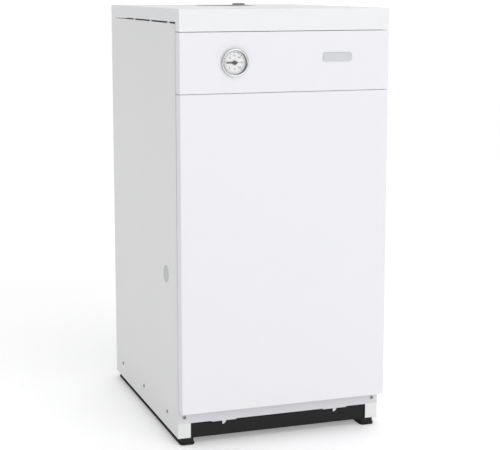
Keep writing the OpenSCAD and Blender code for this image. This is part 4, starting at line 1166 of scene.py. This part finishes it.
@dataclass
class Studio:
    """Pale floor, soft light and the camera."""

    lens: float = 96.77
    yaw: float = 19.12
    pitch: float = 8.693
    place: tuple[float, float, float] = (-0.9074, -2.6883, 0.8948)
    shift: float = -0.07
    ambient: float = 1.09
    left: float = 0.38
    right: float = 0.22
    floor_glow: float = 0.27
    key: float = 18

    def camera(self) -> None:
        """Places the camera before the boiler's front left corner."""
        data = bpy.data.cameras.new("camera")
        data.lens, data.sensor_width, data.shift_y = self.lens, 36.0, self.shift
        data.clip_start, data.clip_end = 0.05, 50.0
        made = placed("camera", data)
        a, b = math.radians(self.yaw), math.radians(self.pitch)
        ahead = Vector((math.sin(a) * math.cos(b), math.cos(a) * math.cos(b), -math.sin(b)))
        made.location = self.place
        made.rotation_euler = ahead.to_track_quat("-Z", "Y").to_euler()
        bpy.context.scene.camera = made

    def floor(self) -> None:
        """Lays a wide pale floor that is seen from above only."""
        bm = bmesh.new()
        bmesh.ops.create_grid(bm, x_segments=8, y_segments=8, size=60.0)
        made = placed("floor", to_mesh("floor", bm))
        paint = Finish("pale_studio_floor", "#fafafa", "#f8f8f9", Pattern.PEEL, 900, 0.0, (0.8, 0.9))
        material = paint.material()
        tree = material.node_tree
        shader = main_shader(material)
        shader.inputs["Specular IOR Level"].default_value = 0.1
        shader.inputs["Emission Color"].default_value = linear("#ffffff")
        shader.inputs["Emission Strength"].default_value = self.floor_glow
        out = next(n for n in tree.nodes if n.type == "OUTPUT_MATERIAL")
        clear = add(tree, "ShaderNodeBsdfTransparent")
        below = add(tree, "ShaderNodeNewGeometry").outputs["Backfacing"]
        both = add(tree, "ShaderNodeMixShader", None, {0: below, 1: shader.outputs[0], 2: clear.outputs[0]})
        tree.links.new(both.outputs[0], out.inputs["Surface"])
        made.data.materials.append(material)

    def light(self, name: str, at: Sequence[float], size: tuple[float, float], power: float) -> None:
        """Adds a soft rectangular light aimed at the boiler's middle.

        Args:
            name: the light's name.
            at: its place, in metres.
            size: its width and height, in metres.
            power: in watts.
        """
        data = bpy.data.lights.new(name, "AREA")
        data.shape, data.size, data.size_y, data.energy = "RECTANGLE", size[0], size[1], power
        made = placed(name, data)
        made.location = at
        made.rotation_euler = (Vector((0, 0, 0.42)) - Vector(at)).to_track_quat("-Z", "Y").to_euler()

    def world(self) -> None:
        """Builds a white surround that is dimmer to the left and to the far right."""
        world = bpy.data.worlds.new("studio")
        world.use_nodes = True
        tree = world.node_tree
        tree.nodes.clear()
        way = add(tree, "ShaderNodeTexCoord").outputs["Generated"]
        across = add(tree, "ShaderNodeSeparateXYZ", None, {0: way}).outputs["X"]
        share = add(tree, "ShaderNodeMapRange", None, {"Value": across, "From Min": -1.0, "From Max": 1.0})
        ramp = add(tree, "ShaderNodeValToRGB", None, {0: share.outputs[0]})
        stops = ramp.color_ramp
        stops.interpolation = "EASE"
        stops.elements[0].color = (self.left,) * 3 + (1.0,)
        stops.elements[1].color = (self.right,) * 3 + (1.0,)
        for place, level in ((0.22, self.left), (0.5, 1.0), (0.76, 1.0), (0.9, self.right)):
            stops.elements.new(place).color = (level,) * 3 + (1.0,)
        back = add(tree, "ShaderNodeBackground", None, {"Color": ramp.outputs[0], "Strength": self.ambient})
        add(tree, "ShaderNodeOutputWorld", None, {"Surface": back.outputs[0]})
        bpy.context.scene.world = world

    def build(self) -> None:
        """Builds camera, floor, world and lights."""
        self.camera()
        self.floor()
        self.world()
        self.light("key", (0.9, -3.6, 1.9), (2.4, 2.4), self.key)
        bpy.context.scene.view_settings.view_transform = "Standard"
        bpy.context.scene.view_settings.look = "None"


def main() -> None:
    """Builds the boiler."""
    logging.basicConfig(level=logging.INFO, format="%(name)s %(message)s")
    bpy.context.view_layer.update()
    Studio().build()
    for part in (Casing(), Thermometer(), BoilerBody(), BurnerAssembly()):
        log.info("building %s", type(part).__name__)
        part.build()


if __name__ == "__main__":
    main()
